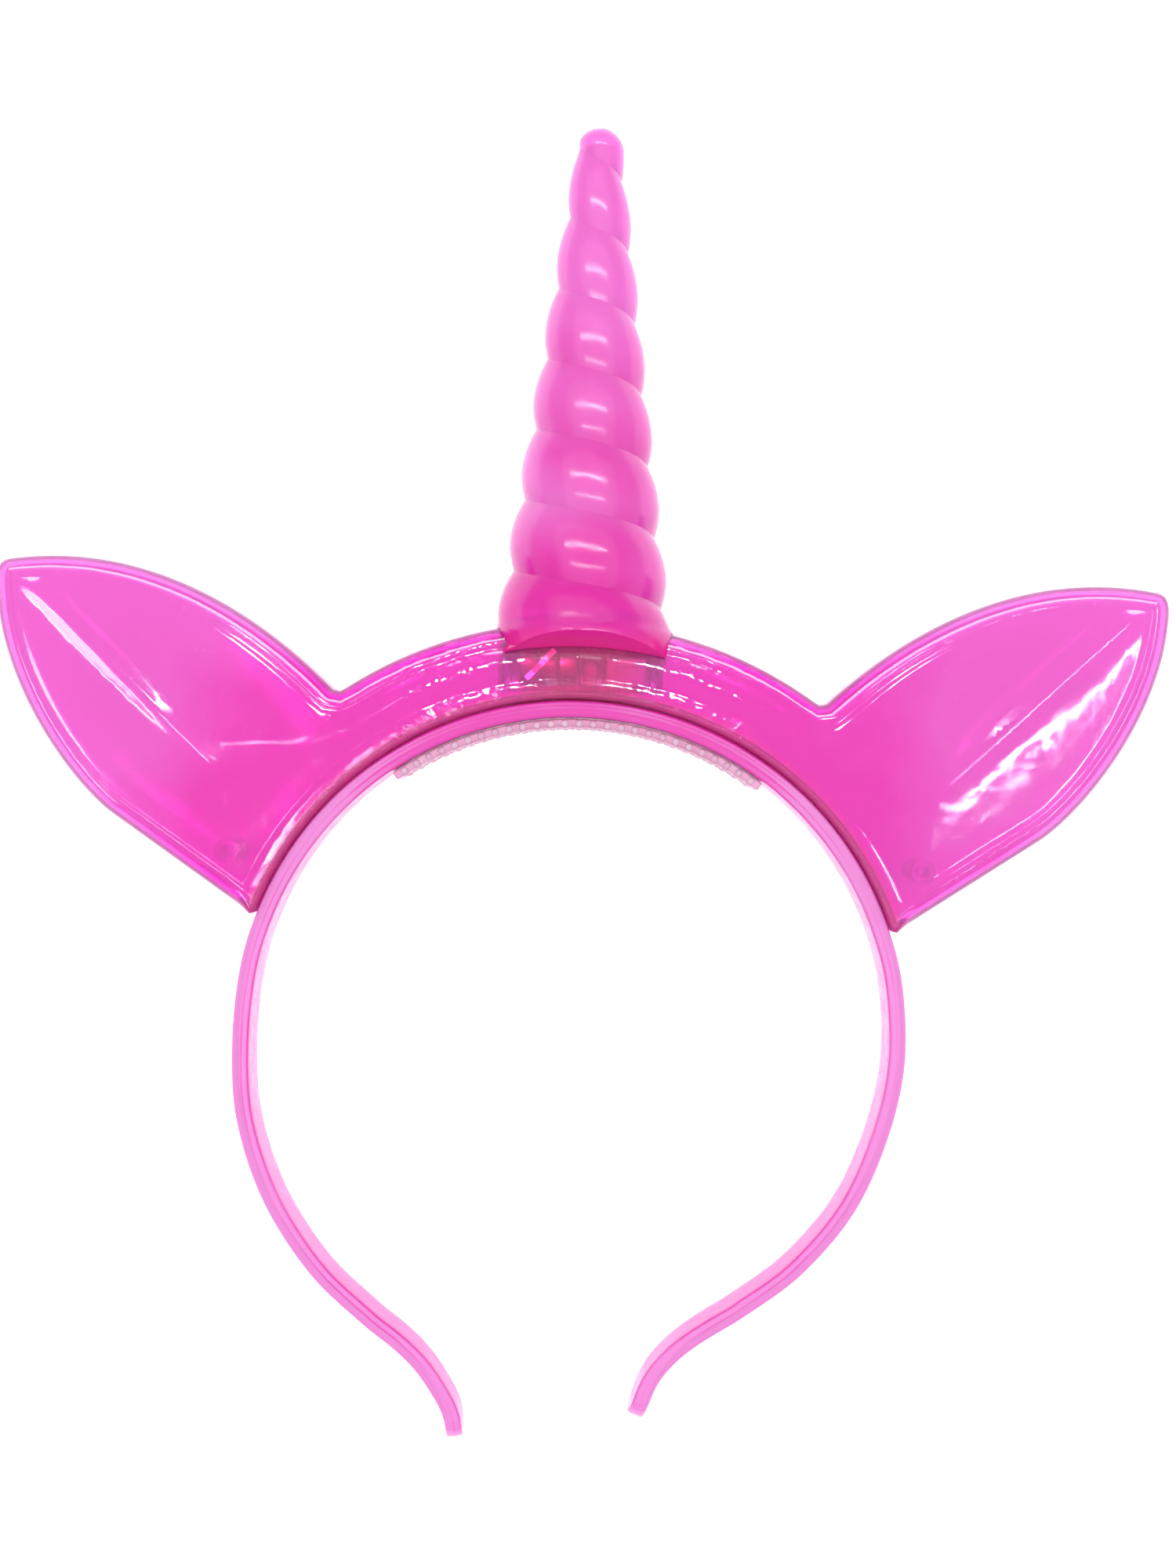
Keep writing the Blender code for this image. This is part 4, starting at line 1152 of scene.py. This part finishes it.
def makeFloor():
    form = bmesh.new()
    bmesh.ops.create_grid(form, x_segments=1, y_segments=1, size=stage["floorSize"] / 2)
    floor = looseObject("floor", form)
    material = bpy.data.materials.new("pale floor")
    material.use_nodes = True
    tree = material.node_tree
    shader = tree.nodes["Principled BSDF"]
    place = tree.nodes.new("ShaderNodeTexCoord").outputs["Object"]
    tint = tree.nodes.new("ShaderNodeValToRGB")
    for end, shade in zip(tint.color_ramp.elements, stage["floorColours"]):
        end.color = shade
    tree.links.new(noiseOf(tree, place, 3.0, 2.0), tint.inputs["Fac"])
    tree.links.new(tint.outputs["Color"], shader.inputs["Base Color"])
    shader.inputs["Roughness"].default_value = 0.8
    shader.inputs["Emission Color"].default_value = (1, 1, 1, 1)
    shader.inputs["Emission Strength"].default_value = stage["floorGlow"]
    floor.data.materials.append(material)


def makeCamera():
    turn = math.radians(stage["cameraTurn"])
    spot = (*stage["cameraAim"], stage["cameraDistance"])
    local = Matrix.Translation(spot) @ Matrix.Rotation(turn, 4, "Z")
    camera = bpy.data.objects.new("camera", bpy.data.cameras.new("camera"))
    bpy.context.scene.collection.objects.link(camera)
    place, rotation, _ = (onTable @ local).decompose()
    camera.location = place
    camera.rotation_euler = rotation.to_euler()
    camera.data.sensor_width = stage["sensor"]
    camera.data.lens = stage["sensor"] * stage["cameraDistance"] / stage["imageHeight"]
    camera.data.clip_start = 0.01
    bpy.context.scene.camera = camera


unitPieces = ("light_tray", "cell_can_1", "cell_can_2", "cell_can_3", "lamp_lens",
              "switch_body", "contact_spring")

# place and aim in metres, size along and across, power in watts
# reaches: the only pieces that it lights, the crown's front where nothing is said
# shades: the only pieces that cast its shadow; spin: degrees about its own axis
lights = {
    "soft light": {"place": (0, 0.1, 2.0), "size": (4.0, 4.0), "power": 37, "reaches": None},
    "top strip": {"place": (0, 0.8, 1.1), "size": (1.6, 0.4), "power": 26},
    "low left strip": {"place": (-0.82, -0.42, 1.1), "aim": (-0.1, 0, 0), "size": (0.7, 0.11),
                       "power": 3.4, "spin": -45},
    "crest strip": {"place": (-0.605, -0.285, 1.0), "aim": (-0.08, 0.006, 0),
                    "size": (0.35, 0.03), "power": 0.9, "spin": -28},
    "cluster lamp": {"place": (-0.22, -0.095, 1.0), "aim": (-0.068, -0.014, 0),
                     "size": (0.12, 0.03), "power": 0.3},
    "pale lamp": {"place": (-0.125, -0.058, 1.0), "aim": (-0.059, 0.001, 0),
                  "size": (0.04, 0.04), "power": 0.07},
    "right strip": {"place": (0.45, -0.06, 1.0), "aim": (0.095, 0.01, 0), "size": (0.3, 0.02),
                    "power": 0.9},
    "low right strip": {"place": (0.385, -0.18, 1.0), "aim": (0.08, 0, 0),
                        "size": (0.17, 0.012), "power": 0.4, "spin": -25},
    "left arc lamp": {"place": (-0.085, 0.15, 1.0), "aim": (-0.03, 0.022, 0),
                      "size": (0.06, 0.2), "power": 0.010, "spread": 5},
    "right arc lamp": {"place": (0.085, 0.15, 1.0), "aim": (0.028, 0.025, 0),
                       "size": (0.06, 0.15), "power": 0.0045, "spread": 5},
    "inside lamp": {"place": (0, 0.3, 1.0), "aim": (0, 0.024, 0), "size": (0.1, 0.1),
                    "power": 9.0, "reaches": unitPieces, "shades": unitPieces},
    "horn strip": {"place": (0, 0.36, 1.0), "aim": (0, 0.06, 0), "size": (1.1, 0.06),
                   "power": 4.6, "reaches": ("horn_shell",)},
    "low horn strip": {"place": (0, -0.19, 1.0), "aim": (0, 0.06, 0), "size": (0.9, 0.04),
                       "power": 1.8, "reaches": ("horn_shell",)},
}


def pieceGroup(name, pieces):
    group = bpy.data.collections.new(name)
    for piece in pieces:
        group.objects.link(bpy.data.objects[piece])
    return group


def addLight(name, values):
    data = bpy.data.lights.new(name, "AREA")
    data.shape = "RECTANGLE"
    data.size, data.size_y = values["size"]
    data.energy = values["power"]
    data.spread = math.radians(values.get("spread", 180))
    light = bpy.data.objects.new(name, data)
    bpy.context.scene.collection.objects.link(light)
    place = Vector(values["place"])
    light.location = place
    facing = (place - Vector(values.get("aim", (0, 0, 0)))).to_track_quat("Z", "Y").to_matrix()
    spin = Matrix.Rotation(math.radians(values.get("spin", 0)), 3, "Z")
    light.rotation_euler = (facing @ spin).to_euler()
    reached = values.get("reaches", ("crown_front_shell",))
    if reached:
        light.light_linking.receiver_collection = pieceGroup(name + " reaches", reached)
        light.visible_diffuse = False
    if "shades" in values:
        light.light_linking.blocker_collection = pieceGroup(name + " shades", values["shades"])


def makeLights():
    world = bpy.data.worlds.new("studio")
    world.use_nodes = True
    bpy.context.scene.world = world
    sky = world.node_tree.nodes["Background"]
    sky.inputs["Color"].default_value = (1, 1, 1, 1)
    sky.inputs["Strength"].default_value = stage["skyStrength"]
    for name, values in lights.items():
        addLight(name, values)


makeFloor()
makeCamera()
makeLights()
bpy.context.scene.view_settings.view_transform = "Standard"
print("stage made")
